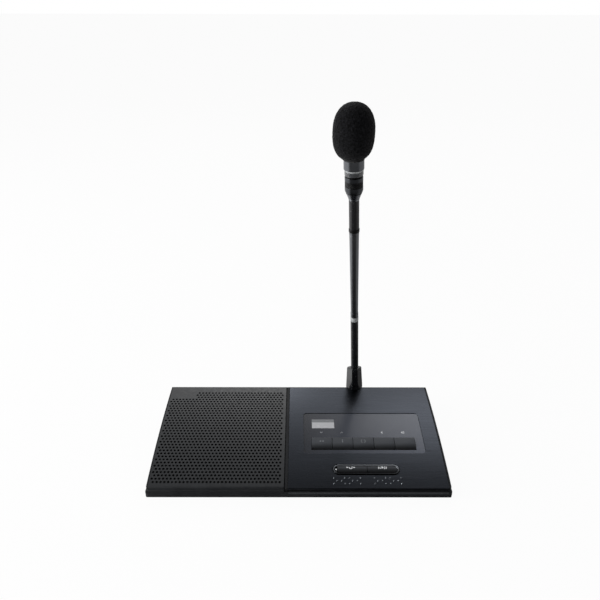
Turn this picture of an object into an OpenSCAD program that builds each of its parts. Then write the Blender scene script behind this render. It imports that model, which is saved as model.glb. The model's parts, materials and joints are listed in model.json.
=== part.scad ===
// Desk unit of a conference system: a low wedge-shaped base with a loudspeaker grille on the
// left and a control plate on the right, and a microphone on a stem with two flexible necks.
// Origin: centre of the footprint, on the desk. +X is the user's right, -Y faces the user.

/* [Base] */
// Length of the arched top, along its curve, from the rear edge to the front edge
top_len = 113; // [110:0.5:125]
// Radius of the arched top
top_r = 575; // [450:5:900]
// Height of the rear edge above the desk
crest_h = 26.3; // [26:0.1:32]
// Height of the front edge above the desk
front_z = 10.99; // [10.8:0.01:12]
// Radius of the rounded rear edge
rear_edge_r = 1.5; // [1:0.1:2]
// Height above the desk of the seam between the two mouldings
split_h = 7.5; // [7:0.1:8.5]
// Wall of the mouldings
wall_t = 2.2; // [1.8:0.1:2.6]
// Floor of the bottom housing
floor_t = 1.8; // [1.6:0.1:2.4]
// Bevel along the bottom edges
bottom_bevel = 0.8; // [0.4:0.1:1.6]
// How far the bottom housing stands out at the front and the sides
skirt = 1.2; // [0:0.1:2.4]
// Height of the sloped shoulder of that skirt
skirt_drop = 1; // [0.5:0.1:1.5]
// Radius of the upright corners of the mouldings
corner_r = 2; // [1:0.1:2.4]
// Thickness of the grille sheet and of the control plate
skin_t = 1.2; // [1:0.1:1.5]
// Radius of the grille's front edge
front_round = 2.4; // [1.6:0.1:2.6]
// Thickness of the upper frame under the two sheets
frame_t = 1.8; // [1.5:0.1:2.2]
// Height of a rubber foot
foot_h = 2.2; // [1.8:0.1:3]
// Diameter of a rubber foot
foot_d = 13; // [9:0.5:16]
// Distance of the feet from the sides, front and rear
foot_inset = 18; // [17:0.5:24]

/* [Loudspeaker side] */
// Width of the frame's rim beside the grille
side_rim = 0.9; // [0.6:0.1:1.6]
// Distance from that rim to the grille's right edge
grille_w = 106; // [100:0.2:112]
// Distance between two holes in a row, and between two rows
hole_pitch = 3; // [2.9:0.05:3.1]
// Diameter of a grille hole
hole_d = 2; // [1.4:0.1:2.2]
// Distance from the rear edge to the first row of holes
first_row = 8.4; // [6:0.1:9]
// Distance from the last row of holes to the front edge, at least
last_row = 5.4; // [5:0.1:9]
// Distance from the side to the first hole of the first row
first_hole = 3.1; // [3:0.1:5]
// Distance from the last hole of a row to the sheet's right edge, at least
last_hole = 3.2; // [2.5:0.1:5]
// Rows that the bare name strip takes
strip_rows = 3; // [2:1:4]
// Length of the bare name strip
strip_len = 25; // [15:0.5:30]
// Distance from the side to the loudspeaker's axis
speaker_in = 54; // [50:0.5:60]
// Distance from the rear edge to the loudspeaker's axis
speaker_s = 42; // [40:0.5:46]
// Radius of the loudspeaker's opening
speaker_r = 26; // [22:0.5:27]
// Travel of the loudspeaker's cone, each way
cone_travel = 0.8; // [0.4:0.1:0.9]

/* [Control side] */
// Width of the control side, from the rib to the right side
control_w = 127.2; // [112:0.2:145]
// Width of the dark gap at the grille's edge
seam_gap = 0.8; // [0.5:0.1:1.2]
// Width of the frame's rib between the two sheets
rib_w = 2.2; // [1.6:0.1:3]
// Width of the frame's rim beside the control plate
edge_w = 1.4; // [1:0.1:2]
// Gap between the control plate and the rib or the rim beside it
plate_gap = 0.15; // [0.1:0.05:0.3]
// Length of the glossy panel, front to rear
panel_len = 44.7; // [44:0.1:48]
// Distance from the rib to the glossy panel
panel_in = 12.7; // [9:0.1:14]
// Distance from the panel to the right side
panel_out = 14.3; // [10:0.1:18]
// Distance from the front edge to the panel
panel_front = 33; // [32:0.1:34]
// Corner radius of the panel
panel_corner = 3; // [1.5:0.1:5]
// How far the panel lies below the control plate's surface
panel_drop = 0.4; // [0.2:0.05:0.6]
// Width of the display window
window_w = 19.3; // [16:0.1:24]
// Length of the display window, front to rear
window_len = 10.4; // [9:0.1:13]
// Distance from the panel's left edge to the window
window_in = 7.1; // [5:0.1:9]
// Distance from the panel's rear edge to the window
window_s = 7.3; // [5:0.1:8]
// Number of function keys
key_count = 5; // [3:1:5]
// Distance from the panel's left edge to the function keys
keys_left = 6.4; // [5:0.1:8]
// Distance from the function keys to the panel's right edge
keys_right = 7.1; // [5:0.1:8]
// Gap between two keys
key_gap = 0.4; // [0.3:0.05:0.6]
// Length of a function key, front to rear
key_len = 12.6; // [10:0.1:13]
// Length of the sloped front of a function key
key_nose = 3.6; // [2:0.1:4.4]
// Distance from the panel's rear edge to the function keys
key_s = 28.3; // [27:0.05:30]
// How far the keys stand above the panel
key_rise = 0.5; // [0.3:0.05:0.7]
// Travel of every key
key_travel = 0.8; // [0.4:0.05:0.9]
// Play between a key and its opening
key_play = 0.25; // [0.2:0.05:0.35]
// Width of the talk key bezel
talk_w = 53; // [48:0.1:60]
// Length of the talk key bezel, front to rear
talk_len = 9.45; // [9:0.05:11]
// Width of the bezel's ring
talk_rim = 1.3; // [1:0.05:1.4]
// Groove around the bezel
talk_gap = 0.3; // [0.1:0.05:0.5]
// Length of the sloped front of a talk key
talk_nose = 2.8; // [1:0.1:3.4]
// Distance from the front edge to the middle of the talk keys
talk_front = 17.1; // [16:0.1:18]
// Distance from the middle of the talk keys to the tactile dots
dots_s = 7.7; // [7.6:0.1:9]
// Distance between tactile dots
dot_pitch = 2.5; // [2.3:0.1:2.7]
// Radius of a tactile dot
dot_r = 0.7; // [0.6:0.05:0.9]
// Height of a tactile dot
dot_h = 0.5; // [0.3:0.05:0.6]

/* [Microphone] */
// Distance from the right side to the microphone's axis
mic_in = 66.2; // [60:0.1:80]
// Distance of the microphone's axis behind the rear edge, at the height of that edge
mic_back = 2.8; // [2:0.1:3.4]
// Lean of the stem towards the user, in degrees
lean_front = 9; // [5:0.5:10]
// Lean of the stem to the left, in degrees
lean_left = 3.5; // [0:0.1:4]
// Height of the front of the boot's top above the rear edge, along the stem
boot_h = 25.4; // [20:0.1:30]
// Width of the boot at its foot
boot_w = 14.8; // [13:0.1:16]
// Width of the boot at its top
boot_top_w = 12.6; // [11:0.1:14]
// Depth of the boot at its foot
boot_depth = 12; // [11:0.1:12.5]
// Depth of the boot at its top
boot_top_depth = 10; // [9:0.1:10.5]
// Slope of the boot's top, down to the rear, in degrees
boot_slant = 25; // [10:1:30]
// Radius of the lower flexible neck
lower_r = 3.3; // [3:0.05:3.4]
// Length of the lower flexible neck
lower_len = 52.6; // [46:0.2:80]
// Length of the ferrule above the lower neck
ferrule_len = 9; // [6:0.2:12]
// Length of the rigid tube
tube_len = 77.8; // [60:0.2:160]
// Length of the collar above the rigid tube
collar_len = 3; // [2:0.1:5]
// Radius of the collar
collar_r = 4.2; // [3.8:0.05:4.5]
// Radius of the upper flexible neck
upper_r = 3.9; // [3.6:0.05:4.1]
// Length of the upper flexible neck
upper_len = 24.2; // [21:0.1:40]
// Length of the cone under the head
cone_len = 5.7; // [5:0.1:10]
// Radius of the lock ring
lock_r = 6.8; // [6.3:0.05:7.2]
// Length of the lock ring
lock_len = 13; // [10:0.1:15]
// Length of the knurled part of the lock ring
knurl_len = 4.6; // [3:0.1:5]
// Distance from the lock ring's lower end to its knurled part
knurl_in = 5.1; // [4:0.1:6]
// Grooves around the knurled part
knurl_count = 36; // [24:1:40]
// Length of the groove above the lock ring
groove_len = 1.3; // [1:0.1:3]
// Length of the light ring
light_len = 3.4; // [2:0.1:6]
// Radius of the light ring
light_r = 7; // [6.7:0.05:7.3]
// Radius of the barrel
barrel_r = 7.5; // [7.3:0.05:7.8]
// Length of the barrel that shows below the windscreen
barrel_show = 8; // [4:0.1:12]
// Length of the barrel inside the windscreen
barrel_in = 13.2; // [10:0.1:18]
// Length of the foam windscreen
foam_len = 40; // [36:0.2:60]
// Radius of the foam windscreen
foam_r = 14.75; // [13:0.05:20]
// Bend of one joint of the lower neck, in degrees each way
lower_bend = 22; // [10:1:22]
// Bend of one joint of the upper neck, in degrees each way
upper_bend = 22; // [10:1:22]

/* [Inside] */
// Thickness of a circuit board
board_t = 1.6; // [1.2:0.1:2]
// Depth of the key board below the top of the base
board_depth = 6; // [5.8:0.1:6.3]
// Height of a key switch
switch_h = 1.8; // [1.6:0.1:2]
// Width of a key switch
switch_w = 6; // [5:0.1:6.5]
// Radius of a key's stem
stem_r = 1.5; // [1:0.05:1.8]
// Height of the main board above the floor
standoff_h = 2.5; // [2:0.1:2.6]
// Thickness of the ballast plate
ballast_t = 2.5; // [1:0.1:2.6]
// Radius of the headphone socket's bore
jack_r = 1.8; // [1.75:0.05:1.85]
// Radius of a housing screw
screw_r = 1.25; // [1:0.05:1.5]

/* [Hidden] */
$fn = 64;

// Small length by which a cutting solid passes a face
cut = 0.5;
body_w = side_rim + grille_w + seam_gap + rib_w + control_w;
half_w = body_w / 2;

// The arched top is part of a circle seen from the side, from the rear edge to the front edge
half_arc = top_len / top_r * 90 / PI;
crest_slope = asin((crest_h - front_z) / (2 * top_r * sin(half_arc))) - half_arc;
function slope(s) = crest_slope + s / top_r * 180 / PI;
run = top_r * (sin(slope(top_len)) - sin(crest_slope));
block_back = 10.6;
crest_y = (run + skirt - block_back) / 2;
front_y = crest_y - run;
rear_y = crest_y + rear_edge_r;
block_y = crest_y + block_back;
arc_y = crest_y + top_r * sin(crest_slope);
arc_z = crest_h - top_r * cos(crest_slope);
function top_y(s) = arc_y - top_r * sin(slope(s));
function top_z(s) = arc_z + top_r * cos(slope(s));
floor_z = foot_h + floor_t;
inner_front_y = front_y + skin_t + wall_t;
inner_rear_y = rear_y - wall_t;

grille_x1 = -half_w + side_rim + grille_w;
rib_x0 = grille_x1 + seam_gap;
rib_x1 = rib_x0 + rib_w;
plate_x0 = rib_x1 + plate_gap;

panel_w = control_w - panel_in - panel_out;
panel_x0 = rib_x1 + panel_in;
panel_x = panel_x0 + panel_w / 2;
panel_s = top_len - panel_front - panel_len;
panel_mid_s = panel_s + panel_len / 2;
window_x = panel_x0 + window_in + window_w / 2;
window_mid_s = panel_s + window_s + window_len / 2;
window_seat = 1;
key_mid_s = panel_s + key_s + key_len / 2;
key_row = panel_w - keys_left - keys_right;
key_pitch = key_row / key_count;
slot_x = panel_x0 + keys_left + key_row / 2;
slot_w = key_row - key_gap + 2 * key_play;
slot_len = key_len + 2 * key_play;
key_top = key_rise - panel_drop;
cap_depth = 2.8;
key_edge = 0.2;
key_nose_drop = 2.2;

talk_x = panel_x - 0.5;
talk_s = top_len - talk_front;
talk_in_w = talk_w - 2 * talk_rim;
talk_in_len = talk_len - 2 * talk_rim;
talk_rise = 0.35;
talk_key_top = talk_rise - 0.1;
talk_key_len = talk_in_len - 2 * key_play;
talk_nose_drop = 1.6;
light_w = 2;
light_in = 1.25;
talk_light_r = 0.6;
talk_key_w = (talk_in_w - light_w - key_gap - 2 * key_play) / 2;
// side -1 is the left key, side 1 the right key
function talk_key_x(side) = light_w / 2 + side * (talk_key_w + key_gap) / 2;
function key_x(i) = panel_x0 + keys_left + (i - 0.5) * key_pitch;

dots_x = talk_x - talk_w / 2 + 0.5;
dots_apart = talk_w / 2 + 5.5;
dot_cell = 2.45 * dot_pitch;
// Radius of the ball that a dot is the top of
ball_r = (dot_r * dot_r + dot_h * dot_h) / (2 * dot_h);

hole_cols = floor((side_rim + grille_w - first_hole - last_hole) / hole_pitch + 0.5);
hole_rows = floor((top_len - first_row - last_row) / hole_pitch) + 1;

// The grille sheet is flat from row to row, so that each hole goes square through a flat strip
function deep(s, d) = [arc_y - (top_r - d) * sin(slope(s)), arc_z + (top_r - d) * cos(slope(s))];
row_edges = concat(
    [0], [for (row = [0 : hole_rows]) first_row + (row - 0.5) * hole_pitch], [top_len + skin_t]
);
// Play between those flat strips and the frame below them
sheet_play = 0.02;
// The rounded front edge touches the arched top at this slope
round_y = front_y + front_round;
round_z = arc_z + sqrt(pow(top_r - front_round, 2) - pow(round_y - arc_y, 2));
round_slope = asin((arc_y - round_y) / (top_r - front_round));

// The key board is flat and lies under the panel and the talk keys
board_mid_s = panel_s + panel_len - 0.3;
board_slope = slope(board_mid_s);
board_s0 = panel_s + 2.3;
board_s1 = talk_s + 6.4;
function board_drop(s) = board_depth - top_r * (1 - cos(slope(s) - board_slope));
stem_in = 0.5;
// How far the flat bezel's rear end would sink into the arched frame
bezel_lift = talk_len / 2 * tan(slope(talk_s) - board_slope) + 0.06;

play = 0.1;
mic_x = half_w - mic_in;
mic_y = crest_y + mic_back;
block_w = 14;
block_corner = 4;
block_in = 6.6;
block_y0 = crest_y - block_in;
boot_seat_z = crest_h - 2.8;
plug_r = 3.4;
socket_r = 4.5;
socket_deep = 12;
stem_tilt = acos(cos(lean_front) * cos(lean_left));
// Length along the stem at which the microphone's socket ends, just under the boot
socket_top = (boot_seat_z - crest_h - socket_r * sin(stem_tilt)) / cos(stem_tilt) - play;

// Network sockets: cells on the main board, in a panel in the rear wall
socket_w = 16;
socket_h = 13.2;
socket_len = 18;
socket_pitch = socket_w + 1;
socket_in = 5.9;
socket_xs = [for (i = [1, 0]) mic_x - block_w / 2 - socket_in - socket_w / 2 - i * socket_pitch];
socket_back = 4;
socket_floor = 2;
plug_w = 11.8;
plug_h = 7;
latch_w = 6;
latch_h = 2;

main_in = 12;
main_back = 7.6;
main_len = 53;
main_x0 = socket_xs[0] - socket_w / 2 - 1;
main_x1 = half_w - main_in;
main_y1 = crest_y - main_back;
main_y0 = main_y1 - main_len;
main_z = floor_z + standoff_h;
main_top = main_z + board_t;

panel_edge = 1.5;
panel_rear_x = socket_xs[0] - socket_w / 2 - panel_edge;
panel_rear_w = socket_pitch + socket_w + 2 * panel_edge;
panel_rear_z = split_h + 0.3;
panel_rear_h = main_top + socket_h + 0.6 - panel_rear_z;

boot_round = 1.8;
// Height of the boot's sloped top at the stem's axis
boot_axis_h = boot_h - boot_top_depth / 2 * sin(boot_slant);
set_screw_r = 1.45;
set_screw_len = 2;
set_screw_h = 4;

// Lengths along the stem, from the height of the rear edge
lower_end = boot_h + lower_len;
ferrule_end = lower_end + ferrule_len;
tube_end = ferrule_end + tube_len;
collar_end = tube_end + collar_len;
upper_end = collar_end + upper_len;
cone_end = upper_end + cone_len;
lock_end = cone_end + lock_len;
groove_end = lock_end + groove_len;
light_end = groove_end + light_len;
foam_start = light_end + barrel_show;

sleeve_r = lock_r - 1.4;
ferrule_r = lower_r + 0.1;
ferrule_taper = 2.4;
spigot_less = 0.8;
sleeve_play = 0.06;
lock_gap = 0.2;
lock_bevel = 0.3;
// The lock ring starts as narrow as the cone below it
cone_step = 0.75;
lock_taper = 2.2;
knurl_w = 0.5;
wire_r = 2;
capsule_r = 5.35;

lower_count = 4;
lower_step = lower_len / (lower_count + 1);
rim_gap = 0.5;
lower_rim = lower_r * tan(lower_bend) + rim_gap;
upper_count = 2;
upper_step = upper_len / (upper_count + 1);
upper_rim = upper_r * tan(upper_bend) + rim_gap;
dome_less = 0.15;
dome_play = 0.05;
function lower_pivot(i) = boot_h + (i - 0.5) * lower_step;
function upper_pivot(i) = collar_end + (i - 0.5) * upper_step;

// Outline of the windscreen: a rounded egg, a little flatter below
foam_steps = 15;
foam_play = 0.3;
function foam_power(a) = a > 0 ? 2.3 : 2.75;
function foam_point(a) = [
    foam_r * pow(cos(a), 2 / foam_power(a)),
    foam_len / 2 * (1 + sign(a) * pow(abs(sin(a)), 2 / foam_power(a)))
];

// Screws
screw_spots = [
    for (x = [-half_w + 7, grille_x1 - 4.2, half_w - 7], y = [front_y + 10, rear_y - 7]) [x, y]
];
main_screws = [
    [main_x0 + 4, main_y0 + 4], [main_x1 - 4, main_y0 + 4], [main_x0 + 4, rear_y - socket_len - 5],
    [main_x1 - 4, main_y1 - 4]
];
key_screws = [
    for (x = [panel_x0 + 4, panel_x0 + panel_w - 4], s = [board_s0 + 4, board_s1 - 15]) [x, s]
];
screw_grip = 2.1;
screw_sink = 0.5;
screw_head_r = screw_r + 1.4;
screw_head_h = 1.6;
boss_r = 4.5;
post_r = 3.5;
pilot_len = 2;
board_screw_r = 1.1;
board_screw_grip = 1.6;
board_hole_r = board_screw_r + 0.05;
board_head_r = 2.2;
board_head_h = 1.4;
board_boss_r = 3;
key_post_r = 2.5;

ballast_in = 18;
ballast_front = 15;
ballast_len = 24;

// Headphone socket at the right side
jack_s = 30.6;
jack_y = crest_y - jack_s;
jack_z = main_top + 3;
jack_w = 8;
jack_h = 6;
jack_len = 14;
jack_sleeve_r = 2.95;
jack_x = half_w - wall_t - jack_len + 1;

// Each chip's place on the board, left and front edge, and its width
chips = [[54, 22, 14], [30, 18, 10]];
chip_h = 1.4;
can_d = 8;
can_pitch = can_d + 2;
can_x = 74;
can_y = 42;

ribbon_x = panel_x - 36.7;
ribbon_y = main_y0 + 9;
ribbon_w = 12;
ribbon_t = 0.3;
ribbon_seat_h = 2.4;
ribbon_seat_w = 4;
ribbon_z0 = main_top + ribbon_seat_h;
// Height of the key board's underside above that seat
ribbon_z1 = top_z(board_mid_s) - (board_depth + board_t) / cos(board_slope)
    + (ribbon_y - top_y(board_mid_s)) * tan(board_slope);

// Loudspeaker: depths are below the top of the base
speaker_x = -half_w + speaker_in;
seat_d = 4.2;
gasket_t = 0.8;
flange_t = 1.2;
flange_r = speaker_r + 5;
basket_top = -seat_d - gasket_t;
speaker_screw_r = 0.9;
speaker_screw_at = flange_r - 2;
coil_r = 8.2;
coil_t = 0.5;
coil_in = 1;
magnet_r = 14;
magnet_top = seat_d + gasket_t + 8.2;
magnet_back = 0.8;
magnet_len = magnet_back + coil_in + cone_travel + 1.2;
cone_rim_h = 1;
basket_in_r = speaker_r - 0.6;
basket_ledge = cone_rim_h + cone_travel + 0.8;
basket_t = 0.8;
vent_w = 6;
vent_h = 9;
cap_z = -magnet_top + 3.2;
cap_rise = 2;
cap_t = 0.4;
cap_edge = coil_r - coil_t;
cap_r = (cap_edge * cap_edge + cap_rise * cap_rise) / (2 * cap_rise);

black = "#17181a";
graphite = "#2b2e32";
anodised = "#33383d";
steel = "#8d9196";

// Placing helpers
module at_top(x, s) translate([x, top_y(s), top_z(s)]) rotate([slope(s), 0, 0]) children();

module on_board(x, s) translate([x, top_y(s), top_z(s)]) rotate([board_slope, 0, 0]) children();

module on_speaker() at_top(speaker_x, speaker_s) children();

module on_mic(len = 0) translate([mic_x, mic_y, crest_h]) rotate([lean_front, -lean_left, 0])
    translate([0, 0, len]) children();

module along_x(x0, x1) translate([x0, 0, 0]) rotate([90, 0, 90]) linear_extrude(x1 - x0) children();

// Children at each spot of a list, all at one height
module at_spots(spots, z) for (p = spots) translate([p[0], p[1], z]) children();

// Children under the key board, at each of its screws
module at_key_screws() for (p = key_screws) on_board(p[0], p[1]) translate([0, 0, -board_drop(p[1])])
    children();

module at_speaker_screws(z) for (a = [45 : 90 : 315]) rotate([0, 0, a]) translate([speaker_screw_at, 0, z])
    children();

// Outlines seen from the side
module arc_disc(depth) translate([arc_y, arc_z]) circle(r = top_r - depth, $fn = 256);

module sheet_side(d0, d1) intersection() {
    difference() {
        arc_disc(d0);
        arc_disc(d1);
    }
    translate([front_y, 0]) square([run, 2 * crest_h]);
}

module sheet(x0, x1, d0, d1) along_x(x0, x1) sheet_side(d0, d1);

module frame_side(depth = skin_t, y0 = front_y + skin_t) {
    intersection() {
        arc_disc(depth);
        translate([y0, split_h]) square([crest_y - y0, 2 * crest_h]);
    }
    translate([crest_y - cut, split_h]) square([rear_edge_r + cut, crest_h - split_h - rear_edge_r]);
    translate([crest_y, crest_h - rear_edge_r]) intersection() {
        circle(r = rear_edge_r);
        translate([0, -cut]) square([rear_edge_r + cut, rear_edge_r + 2 * cut]);
    }
}

module cavity_side() intersection() {
    arc_disc(skin_t + frame_t);
    translate([inner_front_y, split_h - cut]) square([inner_rear_y - inner_front_y, 2 * crest_h]);
}

// A rectangle with round corners, centred
module round_rect(w, len, r) {
    square([w - 2 * r, len], center = true);
    square([w, len - 2 * r], center = true);
    for (x = [-1, 1], y = [-1, 1]) translate([x * (w / 2 - r), y * (len / 2 - r)]) circle(r = r);
}

// The mouldings' outline from above, standing out further at the front and the sides if it grows
module corners(grow = 0) translate([0, (front_y - grow + rear_y) / 2, 0]) linear_extrude(2 * crest_h)
    round_rect(body_w + 2 * grow, rear_y - front_y + grow, corner_r + grow);

// An oblong with round ends, centred
module oblong(w, len) {
    square([w - len, len], center = true);
    for (x = [-1, 1]) translate([x * (w - len) / 2, 0]) circle(d = len);
}

module block(z0, z1, grow = 0) translate([mic_x, 0, z0]) linear_extrude(z1 - z0) {
    translate([-block_w / 2 - grow, block_y0 - grow])
        square([block_w + 2 * grow, block_y - block_y0 - block_corner + grow]);
    translate([-block_w / 2 + block_corner, block_y0])
        square([block_w - 2 * block_corner, block_y - block_y0 + grow]);
    for (x = [-1, 1]) translate([x * (block_w / 2 - block_corner), block_y - block_corner])
        circle(r = block_corner + grow);
}

// Base
// Edge of the bottom housing from the seam down to its underside, on the side that faces one way
function skirt_edge(at, way) = [
    [at, split_h], [at + way * skirt, split_h - skirt_drop],
    [at + way * skirt, foot_h + bottom_bevel], [at + way * (skirt - bottom_bevel), foot_h]
];

module bottom_housing() color(black) difference() {
    union() {
        intersection() {
            along_x(-body_w, body_w) polygon(concat(skirt_edge(front_y, -1), [
                [rear_y - bottom_bevel, foot_h], [rear_y, foot_h + bottom_bevel], [rear_y, split_h]
            ]));
            rotate([90, 0, 0]) linear_extrude(4 * body_w, center = true) polygon(concat(
                skirt_edge(-half_w, -1), [for (i = [3 : -1 : 0]) skirt_edge(half_w, 1)[i]]
            ));
            corners(skirt);
        }
        block(foot_h, split_h);
    }
    difference() {
        translate([-half_w + wall_t, inner_front_y, floor_z])
            cube([body_w - 2 * wall_t, inner_rear_y - inner_front_y, split_h]);
        at_spots(screw_spots, foot_h) cylinder(r = boss_r, h = split_h);
        at_spots(main_screws, foot_h) cylinder(r = board_boss_r, h = main_z - foot_h);
        block(foot_h, split_h + cut);
    }
    at_spots(screw_spots, foot_h - cut) {
        cylinder(r = screw_head_r + 0.2, h = cut + screw_sink + screw_head_h);
        cylinder(r = screw_r + play, h = split_h);
    }
    at_spots(main_screws, main_z - pilot_len) cylinder(r = board_hole_r, h = split_h);
}

module upper_frame() color(black) difference() {
    union() {
        difference() {
            union() {
                intersection() {
                    union() {
                        along_x(-half_w, half_w) frame_side();
                        along_x(-half_w, -half_w + side_rim) frame_side(0, front_y);
                        along_x(half_w - edge_w, half_w) frame_side(0, front_y);
                    }
                    corners();
                }
                block(split_h, boot_seat_z);
            }
            difference() {
                along_x(-half_w + wall_t, half_w - wall_t) cavity_side();
                block(split_h - cut, boot_seat_z);
            }
        }
        sheet(rib_x0, rib_x1, 0, skin_t + frame_t / 2);
        intersection() {
            along_x(-half_w + cut, half_w - cut) frame_side();
            union() {
                at_spots(screw_spots, split_h) cylinder(r = post_r, h = crest_h);
                on_speaker() translate([0, 0, -seat_d])
                    cylinder(r = flange_r + 1, h = seat_d - skin_t - frame_t / 3);
                at_key_screws() cylinder(r = key_post_r, h = board_depth - skin_t - frame_t / 3);
            }
        }
    }
    on_speaker() translate([0, 0, -seat_d - cut]) cylinder(r = speaker_r, h = 2 * seat_d);
    on_speaker() at_speaker_screws(-seat_d - cut) cylinder(r = speaker_screw_r + 0.05, h = pilot_len + cut);
    at_top(window_x, window_mid_s)
        cube([window_w - 2 * window_seat, window_len - 2 * window_seat, 3 * seat_d], center = true);
    key_slot(3 * seat_d);
    on_board(talk_x, talk_s) translate([0, 0, -seat_d]) linear_extrude(2 * seat_d)
        oblong(talk_in_w, talk_in_len);
    at_spots(screw_spots, split_h - cut) cylinder(r = screw_r, h = screw_grip + 2 * cut);
    at_key_screws() translate([0, 0, -cut]) cylinder(r = board_hole_r, h = pilot_len + cut);
    // Opening of the rear panel
    translate([panel_rear_x, inner_rear_y - cut, panel_rear_z])
        cube([panel_rear_w, wall_t + 2 * cut, panel_rear_h]);
    // Headphone socket in the right wall
    translate([half_w - wall_t - cut, jack_y, jack_z]) rotate([0, 90, 0])
        cylinder(r = jack_sleeve_r + 0.05, h = 2 * wall_t);
    // Seat and socket of the microphone
    boot_outline(boot_seat_z, crest_h + 3, play);
    on_mic(-socket_deep - 1) cylinder(r = socket_r + play, h = 2 * socket_deep);
}

module rear_panel() color(graphite) difference() {
    translate([panel_rear_x, inner_rear_y, panel_rear_z]) cube([panel_rear_w, wall_t - 0.3, panel_rear_h]);
    for (x = socket_xs) translate([x - socket_w / 2, inner_rear_y - cut, main_top])
        cube([socket_w, 2 * wall_t, socket_h]);
}

// Loudspeaker side

module front_edge() {
    translate([round_y, round_z]) circle(r = front_round);
    polygon([
        [front_y - cut, 0], [front_y - cut, round_z], [round_y, round_z],
        [round_y - crest_h * sin(round_slope), round_z + crest_h * cos(round_slope)],
        [rear_y + cut, 2 * crest_h], [rear_y + cut, 0]
    ]);
}

module grille_side() intersection() {
    union() {
        intersection() {
            polygon(concat(
                [for (s = row_edges) deep(s, 0)],
                [for (i = [len(row_edges) - 1 : -1 : 0]) deep(row_edges[i], skin_t - sheet_play)]
            ));
            translate([front_y, 0]) square([run, 2 * crest_h]);
        }
        translate([front_y, split_h]) square([skin_t, front_z - split_h - skin_t / 2]);
    }
    front_edge();
}

module speaker_grille() color(graphite) difference() {
    intersection() {
        along_x(-half_w + side_rim + plate_gap, grille_x1) grille_side();
        corners();
    }
    for (row = [0 : hole_rows - 1], col = [0 : hole_cols - 1]) {
        x = first_hole + (col + (row % 2) / 2) * hole_pitch;
        if (row >= strip_rows || x > strip_len) at_top(x - half_w, first_row + row * hole_pitch)
            cylinder(d = hole_d, h = 4 * skin_t, center = true, $fn = 16);
    }
}

module speaker_gasket() color("#0c0c0c") on_speaker() translate([0, 0, -seat_d - gasket_t]) difference() {
    cylinder(r = flange_r, h = gasket_t);
    translate([0, 0, -cut]) cylinder(r = speaker_r, h = 3 * gasket_t);
    at_speaker_screws(-gasket_t) cylinder(r = speaker_screw_r + play, h = 3 * gasket_t);
}

module speaker_basket() color(steel) on_speaker() difference() {
    rotate_extrude() polygon([
        [basket_in_r, basket_top], [flange_r, basket_top], [flange_r, basket_top - flange_t],
        [basket_in_r + 1.6, basket_top - flange_t], [basket_in_r + 1, basket_top - basket_ledge - 0.4],
        [magnet_r + 1.5, -magnet_top + 0.3], [magnet_r + 1.5, -magnet_top], [coil_r + 0.8, -magnet_top],
        [coil_r + 0.8, -magnet_top + basket_t], [magnet_r + 0.6, -magnet_top + basket_t],
        [basket_in_r, basket_top - basket_ledge]
    ]);
    at_speaker_screws(basket_top - 2 * flange_t) cylinder(r = speaker_screw_r + play, h = 3 * flange_t);
    // Windows between the four spokes
    for (a = [0 : 90 : 270]) rotate([0, 0, a]) translate([(magnet_r + flange_r) / 2 - 2, 0, -magnet_top + 2])
        cube([vent_w, magnet_r + 2, vent_h], center = true);
}

module speaker_magnet() color("#55585c") on_speaker() translate([0, 0, -magnet_top - magnet_len])
    difference() {
        cylinder(r = magnet_r, h = magnet_len);
        translate([0, 0, magnet_back]) difference() {
            cylinder(r = coil_r + 0.5, h = magnet_len);
            translate([0, 0, -cut]) cylinder(r = coil_r - 2 * coil_t, h = 2 * magnet_len);
        }
    }

module speaker_cone() color("#101010") on_speaker() rotate_extrude() polygon([
    [basket_in_r - 0.3, basket_top - 0.4], [basket_in_r - 0.3, basket_top - cone_rim_h],
    [basket_in_r - 1.4, basket_top - cone_rim_h], [coil_r, cap_z - 0.6], [coil_r, -magnet_top - coil_in],
    [coil_r - coil_t, -magnet_top - coil_in], [coil_r - coil_t, cap_z],
    [basket_in_r - 2.9, basket_top - 0.4], [basket_in_r - 2.2, basket_top + 0.3],
    [basket_in_r - 1.4, basket_top + 0.3]
]);

module speaker_dust_cap() color("#1c1c1c") on_speaker() translate([0, 0, cap_z]) difference() {
    intersection() {
        translate([0, 0, cap_rise - cap_r]) sphere(r = cap_r);
        cylinder(r = coil_r, h = 2 * cap_rise);
    }
    translate([0, 0, cap_rise - cap_r]) sphere(r = cap_r - cap_t);
}

module speaker_screws() color(steel) on_speaker() at_speaker_screws(basket_top - flange_t) {
    translate([0, 0, -1.2]) cylinder(r = 2 * speaker_screw_r, h = 1.2);
    cylinder(r = speaker_screw_r, h = flange_t + gasket_t + pilot_len - 0.4);
}

// Control side
module control_plate() color(anodised) difference() {
    sheet(plate_x0, half_w - edge_w - plate_gap, 0, skin_t);
    at_top(panel_x, panel_mid_s) translate([0, 0, -2 * skin_t]) linear_extrude(4 * skin_t)
        round_rect(panel_w, panel_len, panel_corner);
    on_board(talk_x, talk_s) translate([0, 0, -2 * skin_t]) linear_extrude(4 * skin_t)
        oblong(talk_w + 2 * talk_gap, talk_len + 2 * talk_gap);
    boot_outline(boot_seat_z, crest_h + 3, play);
}

module key_slot(h) on_board(slot_x, key_mid_s) cube([slot_w, slot_len, h], center = true);

module control_panel() color("#45484d") difference() {
    intersection() {
        sheet(plate_x0, half_w, panel_drop, skin_t);
        at_top(panel_x, panel_mid_s) translate([0, 0, -2 * skin_t]) linear_extrude(4 * skin_t)
            round_rect(panel_w - play, panel_len - play, panel_corner);
    }
    key_slot(6 * skin_t);
    at_top(window_x, window_mid_s) cube([window_w, window_len, 6 * skin_t], center = true);
}

module display_window() color("#a9adb2") intersection() {
    sheet(plate_x0, half_w, panel_drop - 0.1, skin_t);
    at_top(window_x, window_mid_s) cube([window_w - play, window_len - play, 6 * skin_t], center = true);
}

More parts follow.
